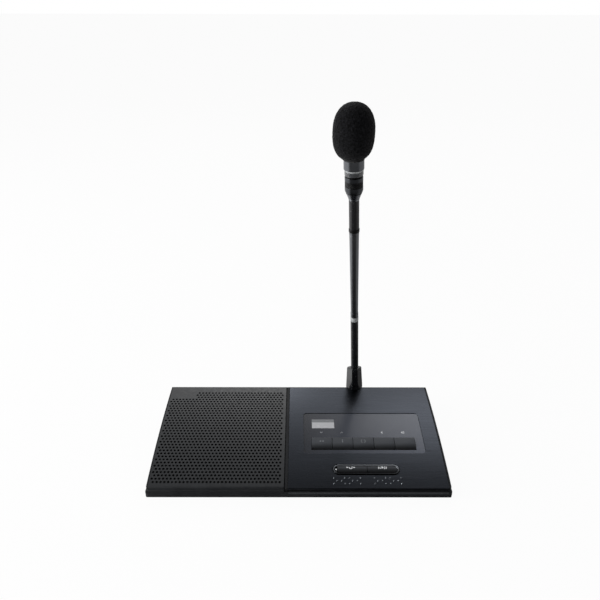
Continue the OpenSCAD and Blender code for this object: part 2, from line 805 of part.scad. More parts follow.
module display_module() color("#6f7c72") on_board(window_x, window_mid_s)
    translate([-window_w / 2, -window_len / 2, -board_drop(window_mid_s)])
        cube([window_w, window_len, board_drop(window_mid_s) - skin_t - frame_t - 0.4]);

// A key from its left to its right side, with a sloped front
module key_cap(x0, x1, len, top, nose, drop) along_x(x0, x1) polygon([
    [-len / 2, -cap_depth], [len / 2, -cap_depth], [len / 2, top - key_edge], [len / 2 - key_edge, top],
    [-len / 2 + nose, top], [-len / 2, top - drop]
]);

module key_stem(s) translate([0, 0, -board_drop(s) + switch_h - stem_in])
    cylinder(r = stem_r, h = board_drop(s) - switch_h + stem_in - cap_depth / 2);

module function_key(i) color("#1f2124") on_board(key_x(i), key_mid_s) {
    half = (key_pitch - key_gap) / 2;
    key_cap(-half, half, key_len, key_top, key_nose, key_nose_drop);
    key_stem(key_mid_s);
}

module key_switch(s) translate([0, 0, -board_drop(s)]) difference() {
    translate([-switch_w / 2, -switch_w / 2, 0]) cube([switch_w, switch_w, switch_h]);
    translate([0, 0, switch_h - stem_in - key_travel - 0.2]) cylinder(r = stem_r + 0.08, h = switch_h);
}

module function_switches() color("#3a3c40")
    for (i = [1 : key_count]) on_board(key_x(i), key_mid_s) key_switch(key_mid_s);

module talk_bezel() color("#4a4d52") on_board(talk_x, talk_s) difference() {
    translate([0, 0, -skin_t + bezel_lift]) linear_extrude(skin_t + talk_rise - bezel_lift)
        oblong(talk_w - 2 * play, talk_len - 2 * play);
    translate([0, 0, -2 * skin_t]) linear_extrude(6 * skin_t) oblong(talk_in_w, talk_in_len);
}

module talk_key(side) color("#1b1d20") on_board(talk_x, talk_s) {
    x0 = talk_key_x(side) - talk_key_w / 2;
    intersection() {
        translate([0, 0, -2 * cap_depth]) linear_extrude(4 * cap_depth)
            oblong(talk_in_w - 2 * key_play, talk_key_len);
        key_cap(x0, x0 + talk_key_w, talk_key_len, talk_key_top, talk_nose, talk_nose_drop);
    }
    translate([talk_key_x(side), 0, 0]) key_stem(talk_s);
}

module talk_switches() color("#3a3c40") on_board(talk_x, talk_s)
    for (side = [-1, 1]) translate([talk_key_x(side), 0, 0]) key_switch(talk_s);

// The light pipe stands on the key board in the left end of the bezel
module talk_light() color("#e8e8e4")
    on_board(talk_x - talk_in_w / 2 + light_in, talk_s) translate([0, 0, -board_drop(talk_s)])
        cylinder(r = talk_light_r, h = board_drop(talk_s) + talk_rise - key_edge);

// Two groups of raised dots in a plain chequered order
module tactile_dots() color("#3b4046") for (group = [0, 1], cell = [0 : 3], col = [0, 1], row = [0 : 2])
    if ((cell + col + row) % 2 == 0) {
        x = dots_x + group * dots_apart + cell * dot_cell + col * dot_pitch;
        at_top(x, talk_s + dots_s + row * dot_pitch) dot();
    }

module dot() intersection() {
    translate([0, 0, dot_h - ball_r]) sphere(r = ball_r, $fn = 24);
    cylinder(r = 2 * ball_r, h = 2 * ball_r);
}

module key_board() color("#1f4a33") on_board(panel_x, board_mid_s) translate([0, 0, -board_depth - board_t])
    difference() {
        translate([-panel_w / 2 + 1, board_mid_s - board_s1, 0])
            cube([panel_w - 2, board_s1 - board_s0, board_t]);
        for (p = key_screws) translate([p[0] - panel_x, board_mid_s - p[1], -cut])
            cylinder(r = board_hole_r, h = board_t + 2 * cut);
    }

// Boards and sockets
module main_board() color("#1f4a33") difference() {
    translate([main_x0, main_y0, main_z]) cube([main_x1 - main_x0, main_y1 - main_y0, board_t]);
    at_spots(main_screws, main_z - cut) cylinder(r = board_hole_r, h = board_t + 2 * cut);
}

module board_parts() {
    color("#16171a") for (chip = chips) translate([main_x0 + chip[0], main_y0 + chip[1], main_top])
        cube([chip[2], chip[2], chip_h]);
    color("#2a2d33") for (i = [0, 1]) translate([main_x0 + can_x + i * can_pitch, main_y0 + can_y, main_top])
        cylinder(d = can_d, h = can_d);
    color("#d8d2bc") translate([ribbon_x - 1.5, ribbon_y - ribbon_seat_w / 2, main_top])
        cube([ribbon_w + 3, ribbon_seat_w, ribbon_seat_h]);
}

// A flat cable stands up from the main board's connector to the underside of the key board
module board_ribbon() color("#c9c6bd") translate([ribbon_x, ribbon_y, ribbon_z0])
    cube([ribbon_w, ribbon_t, ribbon_z1 - ribbon_z0]);

module board_screws() color(steel) {
    at_spots(main_screws, main_top) {
        cylinder(r = board_head_r, h = board_head_h);
        translate([0, 0, -board_t - board_screw_grip])
            cylinder(r = board_screw_r, h = board_t + board_screw_grip);
    }
    at_key_screws() translate([0, 0, -board_t - board_head_h]) {
        cylinder(r = board_head_r, h = board_head_h);
        cylinder(r = board_screw_r, h = board_head_h + board_t + board_screw_grip);
    }
}

module network_sockets() color("#9a9ea3") for (x = socket_xs)
    translate([x - socket_w / 2, rear_y - socket_len, main_top]) difference() {
        cube([socket_w, socket_len, socket_h]);
        translate([(socket_w - plug_w) / 2, socket_back, socket_floor]) cube([plug_w, socket_len, plug_h]);
        translate([(socket_w - latch_w) / 2, socket_back, socket_floor + plug_h - cut])
            cube([latch_w, socket_len, latch_h + cut]);
    }

module headphone_jack() color("#1a1b1d") difference() {
    union() {
        translate([jack_x, jack_y - jack_w / 2, main_top]) cube([jack_len - 1, jack_w, jack_h]);
        translate([half_w - wall_t - cut, jack_y, jack_z]) rotate([0, 90, 0])
            cylinder(r = jack_sleeve_r, h = wall_t + cut);
    }
    translate([jack_x + 1, jack_y, jack_z]) rotate([0, 90, 0])
        cylinder(r = jack_r, h = 2 * jack_len);
}

module ballast_plate() color("#6c7074") translate([-half_w + ballast_in, front_y + ballast_front, floor_z])
    cube([body_w - 2 * ballast_in, ballast_len, ballast_t]);

module rubber_feet() color("#121212")
    for (x = [-1, 1], y = [front_y + foot_inset, rear_y - foot_inset])
        translate([x * (half_w - foot_inset), y, 0]) cylinder(d = foot_d, h = foot_h);

module housing_screws() color(steel) at_spots(screw_spots, foot_h + screw_sink) {
    difference() {
        cylinder(r = screw_head_r, h = screw_head_h);
        translate([0, 0, -cut]) cylinder(r = 1, h = 1 + cut, $fn = 6);
    }
    translate([0, 0, 1]) cylinder(r = screw_r, h = split_h - foot_h - screw_sink + screw_grip - 1);
}

// Microphone
// Outline of the boot at its foot or its top: eight sides, with a narrow face to the front
boot_face = 0.19;
boot_side = 0.14;
boot_back = 0.3;
function boot_half(w, d) = [
    [boot_face * w, -d / 2], [w / 2, -boot_side * d], [w / 2, boot_back * d], [boot_back * w, d / 2]
];
function boot_points(w, d) = concat(
    boot_half(w, d), [for (i = [3 : -1 : 0]) [-boot_half(w, d)[i][0], boot_half(w, d)[i][1]]]
);

module boot_outline(z0, z1, grow) translate([mic_x, mic_y, z0]) linear_extrude(z1 - z0)
    polygon(boot_points(boot_w + 2 * grow, boot_depth + 2 * grow));

module boot_slice(w, d, h) linear_extrude(h) polygon(boot_points(w, d));

// Children under the sloped top of the boot
module on_boot_top(under) on_mic(boot_axis_h) rotate([-boot_slant, 0, 0]) translate([0, 0, -under])
    children();

module mic_boot() color("#1a1b1e") difference() {
    union() {
        translate([mic_x, mic_y, boot_seat_z])
            boot_slice(boot_w, boot_depth, crest_h - boot_seat_z + cut);
        hull() {
            translate([mic_x, mic_y, crest_h]) boot_slice(boot_w, boot_depth, cut);
            on_boot_top(boot_round) boot_slice(boot_top_w, boot_top_depth, 0.1);
            on_boot_top(0.1) boot_slice(boot_top_w - 1.6, boot_top_depth - 1, 0.1);
        }
    }
    on_mic(-socket_deep) cylinder(r = plug_r + play, h = boot_h + 2 * socket_deep);
    on_set_screw() cylinder(r = set_screw_r + 0.05, h = boot_depth);
}

module on_set_screw() on_mic(set_screw_h) translate([-1.6, -plug_r - play, 0]) rotate([90, 0, 0]) children();

module boot_set_screw() color(steel) on_set_screw() difference() {
    cylinder(r = set_screw_r, h = set_screw_len);
    translate([0, 0, set_screw_len - 0.7]) cylinder(r = set_screw_r / 2, h = 2, $fn = 6);
}

module mic_socket() color("#7f8388") on_mic(-socket_deep - 1) difference() {
    cylinder(r = socket_r, h = socket_top + socket_deep + 1);
    translate([0, 0, 1]) cylinder(r = plug_r + 0.05, h = socket_deep);
}

module neck_plug() color(steel) {
    on_mic(-socket_deep) cylinder(r = plug_r, h = boot_h - 0.5 + socket_deep);
    on_mic(boot_h - 1) cylinder(r = lower_r, h = lower_pivot(1) - boot_h + 1);
    on_mic(lower_pivot(1)) sphere(r = lower_r - dome_less);
}

// One rigid length of a flexible neck, from its rim to the dome that carries the next one
module neck_length(r, rim, step) difference() {
    union() {
        translate([0, 0, rim]) cylinder(r = r, h = step - rim);
        translate([0, 0, step]) sphere(r = r - dome_less);
    }
    sphere(r = r - dome_less + dome_play);
}

module lower_neck(i) color("#202124") on_mic(lower_pivot(i)) neck_length(lower_r, lower_rim, lower_step);

module upper_neck(i) color("#202124") on_mic(upper_pivot(i)) neck_length(upper_r, upper_rim, upper_step);

module lower_ferrule() color("#7d8284") on_mic(lower_end) difference() {
    union() {
        cylinder(r1 = lower_r, r2 = ferrule_r, h = ferrule_taper);
        translate([0, 0, ferrule_taper]) cylinder(r = ferrule_r, h = ferrule_len - ferrule_taper);
    }
    translate([0, 0, -cut]) cylinder(r = lower_r - spigot_less, h = ferrule_len + 2 * cut);
}

module middle_tube() color("#222428") {
    difference() {
        on_mic(lower_pivot(lower_count + 1) + lower_rim)
            cylinder(r = lower_r, h = lower_end - lower_pivot(lower_count + 1) - lower_rim);
        on_mic(lower_pivot(lower_count + 1)) sphere(r = lower_r - dome_less + dome_play);
    }
    on_mic(lower_end - 1) cylinder(r = lower_r - spigot_less, h = ferrule_len + 2);
    on_mic(ferrule_end) cylinder(r1 = lower_r - 0.2, r2 = upper_r - 0.1, h = tube_len);
    on_mic(tube_end - 1) cylinder(r = upper_r - spigot_less, h = collar_len + 2);
    on_mic(collar_end) cylinder(r = upper_r, h = upper_pivot(1) - collar_end);
    on_mic(upper_pivot(1)) sphere(r = upper_r - dome_less);
}

module middle_collar() color("#0e0f10") on_mic(tube_end) difference() {
    union() {
        cylinder(r1 = collar_r - 0.5, r2 = collar_r, h = 1);
        translate([0, 0, 1]) cylinder(r = collar_r, h = collar_len - 1.5);
        translate([0, 0, collar_len - 0.5]) cylinder(r1 = collar_r, r2 = collar_r - 0.3, h = 0.5);
    }
    translate([0, 0, -cut]) cylinder(r = upper_r - spigot_less, h = collar_len + 2 * cut);
}

module neck_cone() color("#3a3d41") {
    difference() {
        union() {
            on_mic(upper_pivot(upper_count + 1) + upper_rim)
                cylinder(r = upper_r, h = upper_end - upper_pivot(upper_count + 1) - upper_rim + cut);
            on_mic(upper_end) cylinder(r1 = upper_r + 0.2, r2 = lock_r - cone_step, h = cone_len);
        }
        on_mic(upper_pivot(upper_count + 1)) sphere(r = upper_r - dome_less + dome_play);
    }
    on_mic(cone_end - 1) cylinder(r = sleeve_r, h = lock_len + 1);
}

module lock_ring() color("#26282b") on_mic(cone_end + lock_gap) difference() {
    ring_len = lock_len - 2 * lock_gap;
    union() {
        cylinder(r1 = lock_r - cone_step, r2 = lock_r, h = lock_taper);
        translate([0, 0, lock_taper]) cylinder(r = lock_r, h = ring_len - lock_taper - lock_bevel);
        translate([0, 0, ring_len - lock_bevel])
            cylinder(r1 = lock_r, r2 = lock_r - lock_bevel, h = lock_bevel);
    }
    for (i = [0 : knurl_count - 1]) rotate([0, 0, i * 360 / knurl_count])
        translate([lock_r + 0.05, 0, knurl_in]) rotate([0, 0, 45])
            translate([-knurl_w / 2, -knurl_w / 2, 0]) cube([knurl_w, knurl_w, knurl_len]);
    translate([0, 0, -cut]) cylinder(r = sleeve_r + sleeve_play, h = lock_len + 2 * cut);
}

module head_band() color("#141517") on_mic(lock_end) difference() {
    union() {
        cylinder(r = lock_r - 0.4, h = groove_len);
        cylinder(r = sleeve_r, h = groove_len + light_len + 1);
    }
    translate([0, 0, -cut]) cylinder(r = wire_r, h = groove_len + light_len + 3);
}

module light_ring() color("#6d7075") on_mic(groove_end) difference() {
    cylinder(r = light_r, h = light_len);
    translate([0, 0, -cut]) cylinder(r = sleeve_r, h = light_len + 2 * cut);
}

module head_barrel() color("#303338") on_mic(light_end) difference() {
    union() {
        cylinder(r1 = light_r, r2 = barrel_r, h = 1);
        translate([0, 0, 1]) cylinder(r = barrel_r, h = barrel_show + barrel_in - 2);
        translate([0, 0, barrel_show + barrel_in - 1]) cylinder(r1 = barrel_r, r2 = barrel_r - 0.8, h = 1);
    }
    translate([0, 0, -cut]) cylinder(r = sleeve_r, h = 1 + cut);
    translate([0, 0, 0.9]) cylinder(r = wire_r, h = barrel_show);
    translate([0, 0, barrel_show]) cylinder(r = capsule_r + 0.05, h = barrel_in - 1.5);
    for (a = [0 : 60 : 300]) rotate([0, 0, a]) translate([capsule_r - 2, 0, barrel_show])
        cylinder(r = 0.9, h = 2 * barrel_in);
}

module mic_capsule() color("#b9a56a") on_mic(foam_start) cylinder(r = capsule_r, h = barrel_in - 4);

module windscreen() color("#151618") on_mic(foam_start) difference() {
    rotate_extrude() polygon(concat(
        [[0, 0]], [for (i = [-foam_steps : foam_steps]) foam_point(i * 90 / foam_steps)]
    ));
    translate([0, 0, -cut]) cylinder(r = barrel_r + foam_play, h = barrel_in + cut + foam_play);
}

bottom_housing();
upper_frame();
rear_panel();
speaker_grille();
control_plate();
control_panel();
display_window();
display_module();
function_key(1);  // function_key_1
function_key(2);  // function_key_2
function_key(3);  // function_key_3
function_key(4);  // function_key_4
function_key(5);  // function_key_5
function_switches();
talk_bezel();
talk_key(-1);  // talk_key_left
talk_key(1);  // talk_key_right
talk_switches();
talk_light();
tactile_dots();
key_board();
main_board();
board_parts();
board_ribbon();
board_screws();
network_sockets();
headphone_jack();
speaker_basket();
speaker_magnet();
speaker_cone();
speaker_dust_cap();
speaker_gasket();
speaker_screws();
ballast_plate();
rubber_feet();
housing_screws();
mic_boot();
boot_set_screw();
mic_socket();
neck_plug();
lower_neck(1);  // lower_neck_1
lower_neck(2);  // lower_neck_2
lower_neck(3);  // lower_neck_3
lower_neck(4);  // lower_neck_4
lower_ferrule();
middle_tube();
middle_collar();
upper_neck(1);  // upper_neck_1
upper_neck(2);  // upper_neck_2
neck_cone();
lock_ring();
head_band();
light_ring();
head_barrel();
mic_capsule();
windscreen();
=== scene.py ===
# A desk microphone unit: the looks of its surfaces, and the pieces that are modelled here
# The camera and the light follow the photograph. Lengths are in millimetres unless said.
import json
import math

import bpy
from mathutils import Matrix, Vector, noise
from mathutils.bvhtree import BVHTree


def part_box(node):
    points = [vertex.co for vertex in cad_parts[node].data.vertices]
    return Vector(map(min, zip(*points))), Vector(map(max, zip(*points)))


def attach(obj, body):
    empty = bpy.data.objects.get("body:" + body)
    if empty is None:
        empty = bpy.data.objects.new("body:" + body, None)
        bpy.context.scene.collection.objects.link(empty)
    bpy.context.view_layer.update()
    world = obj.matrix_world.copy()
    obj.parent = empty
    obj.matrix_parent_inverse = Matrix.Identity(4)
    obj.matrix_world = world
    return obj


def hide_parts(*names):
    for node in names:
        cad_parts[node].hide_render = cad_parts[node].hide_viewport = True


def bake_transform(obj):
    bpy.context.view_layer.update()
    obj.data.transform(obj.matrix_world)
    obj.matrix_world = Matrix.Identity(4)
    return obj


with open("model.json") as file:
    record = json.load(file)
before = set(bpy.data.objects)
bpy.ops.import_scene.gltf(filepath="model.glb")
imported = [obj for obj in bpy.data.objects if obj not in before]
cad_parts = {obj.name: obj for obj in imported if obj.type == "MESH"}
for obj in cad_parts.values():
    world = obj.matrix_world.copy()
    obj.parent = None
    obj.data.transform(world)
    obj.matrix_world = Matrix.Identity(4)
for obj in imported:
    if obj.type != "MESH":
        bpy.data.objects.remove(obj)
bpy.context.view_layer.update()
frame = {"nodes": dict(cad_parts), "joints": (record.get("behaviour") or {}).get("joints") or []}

MM = 0.001
joints = {j["name"]: j for j in frame["joints"]}
nodes = frame["nodes"]

# Camera
IMAGE_PX = 600
FOCAL_PX = 575
SENSOR_W = 36
CLIP_NEAR = 0.01
CLIP_FAR = 50
CAMERA_AT = (0.02, -391.91, 341.62)
CAMERA_DOWN = 26.783
CAMERA_TURN = -0.097
CAMERA_ROLL = -0.138


def make_camera():
    data = bpy.data.cameras.new("camera")
    data.sensor_width = SENSOR_W
    data.lens = FOCAL_PX / IMAGE_PX * SENSOR_W
    data.clip_start = CLIP_NEAR
    data.clip_end = CLIP_FAR
    camera = bpy.data.objects.new("camera", data)
    camera.location = Vector(CAMERA_AT) * MM
    turn = Matrix.Rotation(math.radians(CAMERA_TURN), 3, "Z")
    down = Matrix.Rotation(math.radians(-CAMERA_DOWN), 3, "X")
    roll = Matrix.Rotation(math.radians(CAMERA_ROLL), 3, "Y")
    level = Matrix.Rotation(math.radians(90), 3, "X")
    camera.rotation_euler = (turn @ down @ roll @ level).to_euler()
    bpy.context.scene.collection.objects.link(camera)
    bpy.context.scene.camera = camera


# Materials
COAT_ROUGH = 0.08


def rgb(red, green, blue):
    """A colour given in display values from 0 to 255, as linear light."""
    def linear(value):
        share = value / 255
        return share / 12.92 if share <= 0.04045 else ((share + 0.055) / 1.055) ** 2.4
    return tuple(linear(v) for v in (red, green, blue))


def lighter(colour, factor):
    return tuple(min(1.0, c * factor) for c in colour) + (1.0,)


class Look:
    """A material in the making: a Principled shader with noise in its colour, gloss and relief."""

    def __init__(self, name, colour, rough, metal=0.0, specular=0.5, coat=0.0, stretch=(1, 1, 1)):
        self.material = bpy.data.materials.new(name)
        self.material.use_nodes = True
        self.tree = self.material.node_tree
        self.shader = self.tree.nodes["Principled BSDF"]
        self.colour = colour
        self.rough = rough
        self.shader.inputs["Base Color"].default_value = lighter(colour, 1)
        self.shader.inputs["Roughness"].default_value = rough
        self.shader.inputs["Metallic"].default_value = metal
        self.shader.inputs["Specular IOR Level"].default_value = specular
        self.shader.inputs["Coat Weight"].default_value = coat
        self.shader.inputs["Coat Roughness"].default_value = COAT_ROUGH
        coords = self.tree.nodes.new("ShaderNodeTexCoord")
        self.place = self.tree.nodes.new("ShaderNodeMapping")
        self.place.inputs["Scale"].default_value = stretch
        self.link(coords.outputs["Object"], self.place.inputs["Vector"])
        self.normal = None

    def link(self, out, into):
        self.tree.links.new(out, into)

    def noise(self, size, detail=2.0):
        texture = self.tree.nodes.new("ShaderNodeTexNoise")
        texture.inputs["Scale"].default_value = 1 / (size * MM)
        texture.inputs["Detail"].default_value = detail
        self.link(self.place.outputs["Vector"], texture.inputs["Vector"])
        return texture.outputs["Fac"]

    def spread(self, value, low, high, from_low=0.3, from_high=0.7):
        node = self.tree.nodes.new("ShaderNodeMapRange")
        node.inputs["From Min"].default_value = from_low
        node.inputs["From Max"].default_value = from_high
        node.inputs["To Min"].default_value = low
        node.inputs["To Max"].default_value = high
        self.link(value, node.inputs["Value"])
        return node.outputs["Result"]

    def mix_colours(self, factor, first, second):
        mix = self.tree.nodes.new("ShaderNodeMix")
        mix.data_type = "RGBA"
        mix.inputs["A"].default_value = first
        mix.inputs["B"].default_value = second
        self.link(factor, mix.inputs["Factor"])
        self.link(mix.outputs["Result"], self.shader.inputs["Base Color"])
        return self

    def tint(self, size, share, detail=2.0):
        """The colour gets lighter and darker by this share in patches of this size."""
        patches = self.spread(self.noise(size, detail), 0, 1)
        dark, light = lighter(self.colour, 1 - share), lighter(self.colour, 1 + share)
        return self.mix_colours(patches, dark, light)

    def fade(self, axis, start, end, first):
        """The colour runs from the first one to the look's own between two places, in millimetres."""
        parts = self.tree.nodes.new("ShaderNodeSeparateXYZ")
        self.link(self.place.outputs["Vector"], parts.inputs["Vector"])
        run = self.spread(parts.outputs[axis], 0, 1, start * MM, end * MM)
        return self.mix_colours(run, lighter(first, 1), lighter(self.colour, 1))

    def gloss(self, size, share, detail=2.0):
        """The roughness varies by this share in patches of this size."""
        low, high = self.rough * (1 - share), min(1.0, self.rough * (1 + share))
        self.link(self.spread(self.noise(size, detail), low, high), self.shader.inputs["Roughness"])
        return self

    def relief(self, size, depth, detail=2.0):
        """A fine relief of this grain size and depth."""
        bump = self.tree.nodes.new("ShaderNodeBump")
        bump.inputs["Distance"].default_value = depth * MM
        self.link(self.noise(size, detail), bump.inputs["Height"])
        if self.normal is not None:
            self.link(self.normal, bump.inputs["Normal"])
        self.normal = bump.outputs["Normal"]
        self.link(self.normal, self.shader.inputs["Normal"])
        return self


def moulded(name, colour, rough=0.5, specular=0.2):
    """Moulded plastic with a fine erosion texture."""
    look = Look(name, colour, rough, specular=specular)
    return look.tint(9, 0.12).gloss(3, 0.12).relief(0.35, 0.02).material


def satin(name, colour, rough=0.3, specular=0.5, metal=0.0, coat=0.0):
    """Smooth plastic or metal with faint unevenness."""
    look = Look(name, colour, rough, specular=specular, metal=metal, coat=coat)
    return look.tint(6, 0.1).gloss(2, 0.15).relief(1.2, 0.004).material


def polished(name, colour, rough=0.26):
    """Bare metal, smooth and nearly even."""
    return Look(name, colour, rough, metal=1.0).tint(8, 0.05).gloss(5, 0.08).material


BRUSH_STRETCH = 0.012


def brushed(name, colour, rough=0.3):
    """Anodised metal, brushed from side to side."""
    look = Look(name, colour, rough, metal=1.0, stretch=(BRUSH_STRETCH, 1, 1))
    return look.tint(0.35, 0.08, 4).gloss(0.3, 0.15, 4).relief(0.25, 0.002, 4).material


PANE_ROUGH = 0.25
HEADER_SHARE = 0.64
HEADER_BLUR = 0.3
# Depth behind a key's front edge that keeps the full painted shade
KEY_FRONT = 0.6


def panel_painted_reflection_look(name, node, left, right):
    """A smooth pane with a painted reflection: its colour is lighter towards its right end."""
    low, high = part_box(node)
    look = Look(name, right, PANE_ROUGH)
    return look.fade("X", low.x / MM, high.x / MM, left).gloss(4, 0.06).material


def display_look(name, node, header, body):
    """A lit display under glass: a darker band along the rear third."""
    low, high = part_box(node)
    look = Look(name, header, PANE_ROUGH, coat=0.6)
    band = (low.y + (high.y - low.y) * HEADER_SHARE) / MM
    return look.fade("Y", band - HEADER_BLUR, band + HEADER_BLUR, body).gloss(4, 0.2).material


def key_painted_shade_look(name, node, rear, shaded_front, rough, reach, metal=0.0):
    """A key or its ring with painted shade and light: dark at its front edge, lighter towards the
    rear over this reach behind its front edge.
    """
    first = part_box(node)[0].y / MM
    look = Look(name, rear, rough, metal=metal, specular=0.3)
    look.fade("Y", first + KEY_FRONT, first + reach, shaded_front)
    return look.gloss(3, 0.12).relief(0.35, 0.01).material


def foam_look(name, colour):
    """Open foam: rough, blotchy in its grain, with a faint sheen."""
    look = Look(name, colour, 1.0, specular=0.05)
    look.shader.inputs["Sheen Weight"].default_value = 0.08
    look.shader.inputs["Sheen Roughness"].default_value = 0.5
    return look.tint(1.1, 0.9, 2).relief(0.8, 0.3, 3).material


looks = {
    "housing": moulded("housing", rgb(38, 39, 41), 0.5, 0.12),
    "grille": moulded("grille", rgb(35, 37, 40), 0.42, 0.6),
    "plate": brushed("plate", rgb(62, 65, 71)),
    "panel": panel_painted_reflection_look("panel", "control_panel", rgb(26, 30, 40), rgb(70, 76, 90)),
    "window": display_look("window", "display_window", rgb(116, 119, 123), rgb(190, 191, 195)),
    "display": moulded("display", rgb(150, 154, 152)),
    # The dark front colours of the keys and the bezel are painted shade, their light rear colours
    # painted highlight
    "key": key_painted_shade_look("key", "function_key_1", rgb(72, 75, 80), rgb(5, 5, 6), 0.45, 6.5),
    "talk_key": key_painted_shade_look("talk_key", "talk_key_left", rgb(66, 68, 72), rgb(4, 4, 5), 0.4, 4.5),
    "bezel": key_painted_shade_look("bezel", "talk_bezel", rgb(118, 121, 126), rgb(30, 31, 33), 0.3, 7.0, 1.0),
    "white": satin("white", rgb(225, 227, 230), 0.5),
    # The front rim's colour, lighter than the housing: painted highlight
    "edge": satin("edge", rgb(58, 60, 63), 0.5, 0.3),
    "faint": satin("faint", rgb(130, 133, 138), 0.5),
    # The tactile dots are lighter than the plate they belong to: painted highlight
    "dots": satin("dots", rgb(120, 124, 130), 0.3, metal=1.0),
    "board": satin("board", rgb(20, 74, 48), 0.4),
    "part": satin("part", rgb(26, 27, 30), 0.4),
    "ribbon": satin("ribbon", rgb(205, 200, 188), 0.45),
    "steel": satin("steel", rgb(150, 153, 157), 0.3, metal=1.0),
    "gold": satin("gold", rgb(212, 175, 95), 0.25, metal=1.0),
    "socket": satin("socket", rgb(30, 31, 34), 0.35),
    "rubber": moulded("rubber", rgb(22, 22, 22), 0.8, 0.2),
    "cone": moulded("cone", rgb(18, 18, 19), 0.8, 0.2),
    "boot": satin("boot", rgb(24, 25, 27), 0.22, 0.8),
    "sleeve": satin("sleeve", rgb(22, 23, 25), 0.32, 0.6),
    "tube": polished("tube", rgb(120, 122, 125), 0.34),
    # The light colour of the ferrule's lower band and the barrel's chamfer is a painted highlight
    "pale_painted_highlight": satin("pale_painted_highlight", rgb(164, 167, 168), 0.45, 0.4),
    "gunmetal": polished("gunmetal", rgb(78, 80, 83), 0.32),
    "barrel": polished("barrel", rgb(112, 114, 118)),
    "bright": satin("bright", rgb(132, 135, 138), 0.24, metal=1.0),
    "light_ring": satin("light_ring", rgb(58, 60, 63), 0.12, 0.7, coat=1.0),
    "band": satin("band", rgb(12, 12, 13), 0.4, 0.25),
    "foam": foam_look("foam", rgb(17, 17, 19)),
}

NODE_LOOKS = {
    "housing": ["bottom_housing", "upper_frame", "rear_panel"],
    "grille": ["speaker_grille"],
    "plate": ["control_plate"],
    "dots": ["tactile_dots"],
    "panel": ["control_panel"],
    "window": ["display_window"],
    "display": ["display_module"],
    "key": [f"function_key_{i}" for i in range(1, 6)],
    "talk_key": ["talk_key_left", "talk_key_right"],
    "bezel": ["talk_bezel"],
    "white": ["talk_light"],
    "board": ["key_board", "main_board"],
    "part": ["board_parts", "function_switches", "talk_switches", "headphone_jack"],
    "ribbon": ["board_ribbon"],
    "steel": ["board_screws", "speaker_basket", "speaker_magnet", "speaker_screws", "ballast_plate",
              "housing_screws", "boot_set_screw", "neck_plug"],
    "gold": ["mic_capsule", "mic_socket"],
    "socket": ["network_sockets"],
    "rubber": ["rubber_feet", "speaker_gasket"],
    "cone": ["speaker_cone", "speaker_dust_cap"],
    "boot": ["mic_boot"],
    "sleeve": ["lower_neck_1", "lower_neck_2", "lower_neck_3", "lower_neck_4", "upper_neck_1",
               "upper_neck_2"],
    "tube": ["middle_tube"],
    "pale_painted_highlight": ["lower_ferrule"],
    "gunmetal": ["lock_ring"],
    "barrel": ["neck_cone", "head_barrel"],
    "band": ["middle_collar", "head_band"],
    "light_ring": ["light_ring"],
    "foam": ["windscreen"],
}


def finish_nodes():
    for key, names in NODE_LOOKS.items():
        for name in names:
            mesh = nodes[name].data
            mesh.materials.clear()
            mesh.materials.append(looks[key])


WELD_MM = 0.0005
EDGE_ANGLE = 35

# Width and steps of the rounding for nodes that keep their shape
ROUNDED_NODES = [
    ("control_plate", 0.25, 3),
    ("control_panel", 0.2, 3),
    ("talk_bezel", 0.3, 3),
    ("talk_key_left", 0.4, 3),
    ("talk_key_right", 0.4, 3),
    ("bottom_housing", 0.4, 3),
    ("function_key_1", 0.22, 2),
    ("function_key_2", 0.22, 2),
    ("function_key_3", 0.22, 2),
    ("function_key_4", 0.22, 2),
    ("function_key_5", 0.22, 2),
]


def soften_nodes():
    """Rounds the sharp edges of the nodes that stay as they are."""
    for name, width, segments in ROUNDED_NODES:
        weld = nodes[name].modifiers.new("weld", "WELD")
        weld.merge_threshold = WELD_MM * MM
        round_edges(nodes[name], width, segments, EDGE_ANGLE)


def round_edges(piece, width, segments, angle):
    bevel = piece.modifiers.new("bevel", "BEVEL")
    bevel.width = width * MM
    bevel.segments = segments
    bevel.limit_method = "ANGLE"
    bevel.angle_limit = math.radians(angle)
    bevel.harden_normals = False
    normals = piece.modifiers.new("normals", "WEIGHTED_NORMAL")
    normals.keep_sharp = False


# Making pieces
def new_piece(name, points, faces, look, body, smooth=True):
    mesh = bpy.data.meshes.new(name)
    mesh.from_pydata([tuple(p) for p in points], [], faces)
    mesh.validate()
    mesh.update()
    piece = bpy.data.objects.new(name, mesh)
    bpy.context.scene.collection.objects.link(piece)
    mesh.materials.append(looks[look])
    if smooth:
        mesh.polygons.foreach_set("use_smooth", [True] * len(mesh.polygons))
    if body:
        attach(piece, body)
    return piece


# The stem's own frame: its axis, and its lengths from the height of the base's rear edge
BOOT_TOP = 25.4
BOOT_BACK = 20.5
LOWER_END = 78.0
FERRULE_END = 87.0
COLLAR_END = 167.8
UPPER_END = 192.0
CONE_END = 197.7
LOCK_END = 210.7
GROOVE_END = 212.0
LIGHT_END = 215.4
FOAM_START = 223.4
BARREL_END = 236.6
FOAM_LEN = 40.0
FOAM_R = 14.75
LOWER_R = 3.3
UPPER_R = 3.9
LOCK_R = 6.8
BARREL_R = 7.5

stem_z = Vector(joints["lock_ring_turn"]["axis"]).normalized()
stem_x = Vector(joints["lower_bend"]["axis"]).normalized()
stem_y = stem_z.cross(stem_x)
stem_origin = Vector(joints["lock_ring_turn"]["pos_m"]) - stem_z * CONE_END * MM


def on_stem(x, y, length):
    return stem_origin + (stem_x * x + stem_y * y + stem_z * length) * MM


def stem_ring(radius, length, count):
    """Points evenly round the stem's axis, at one length."""
    turns = [2 * math.pi * i / count for i in range(count)]
    return [on_stem(radius * math.cos(turn), radius * math.sin(turn), length) for turn in turns]


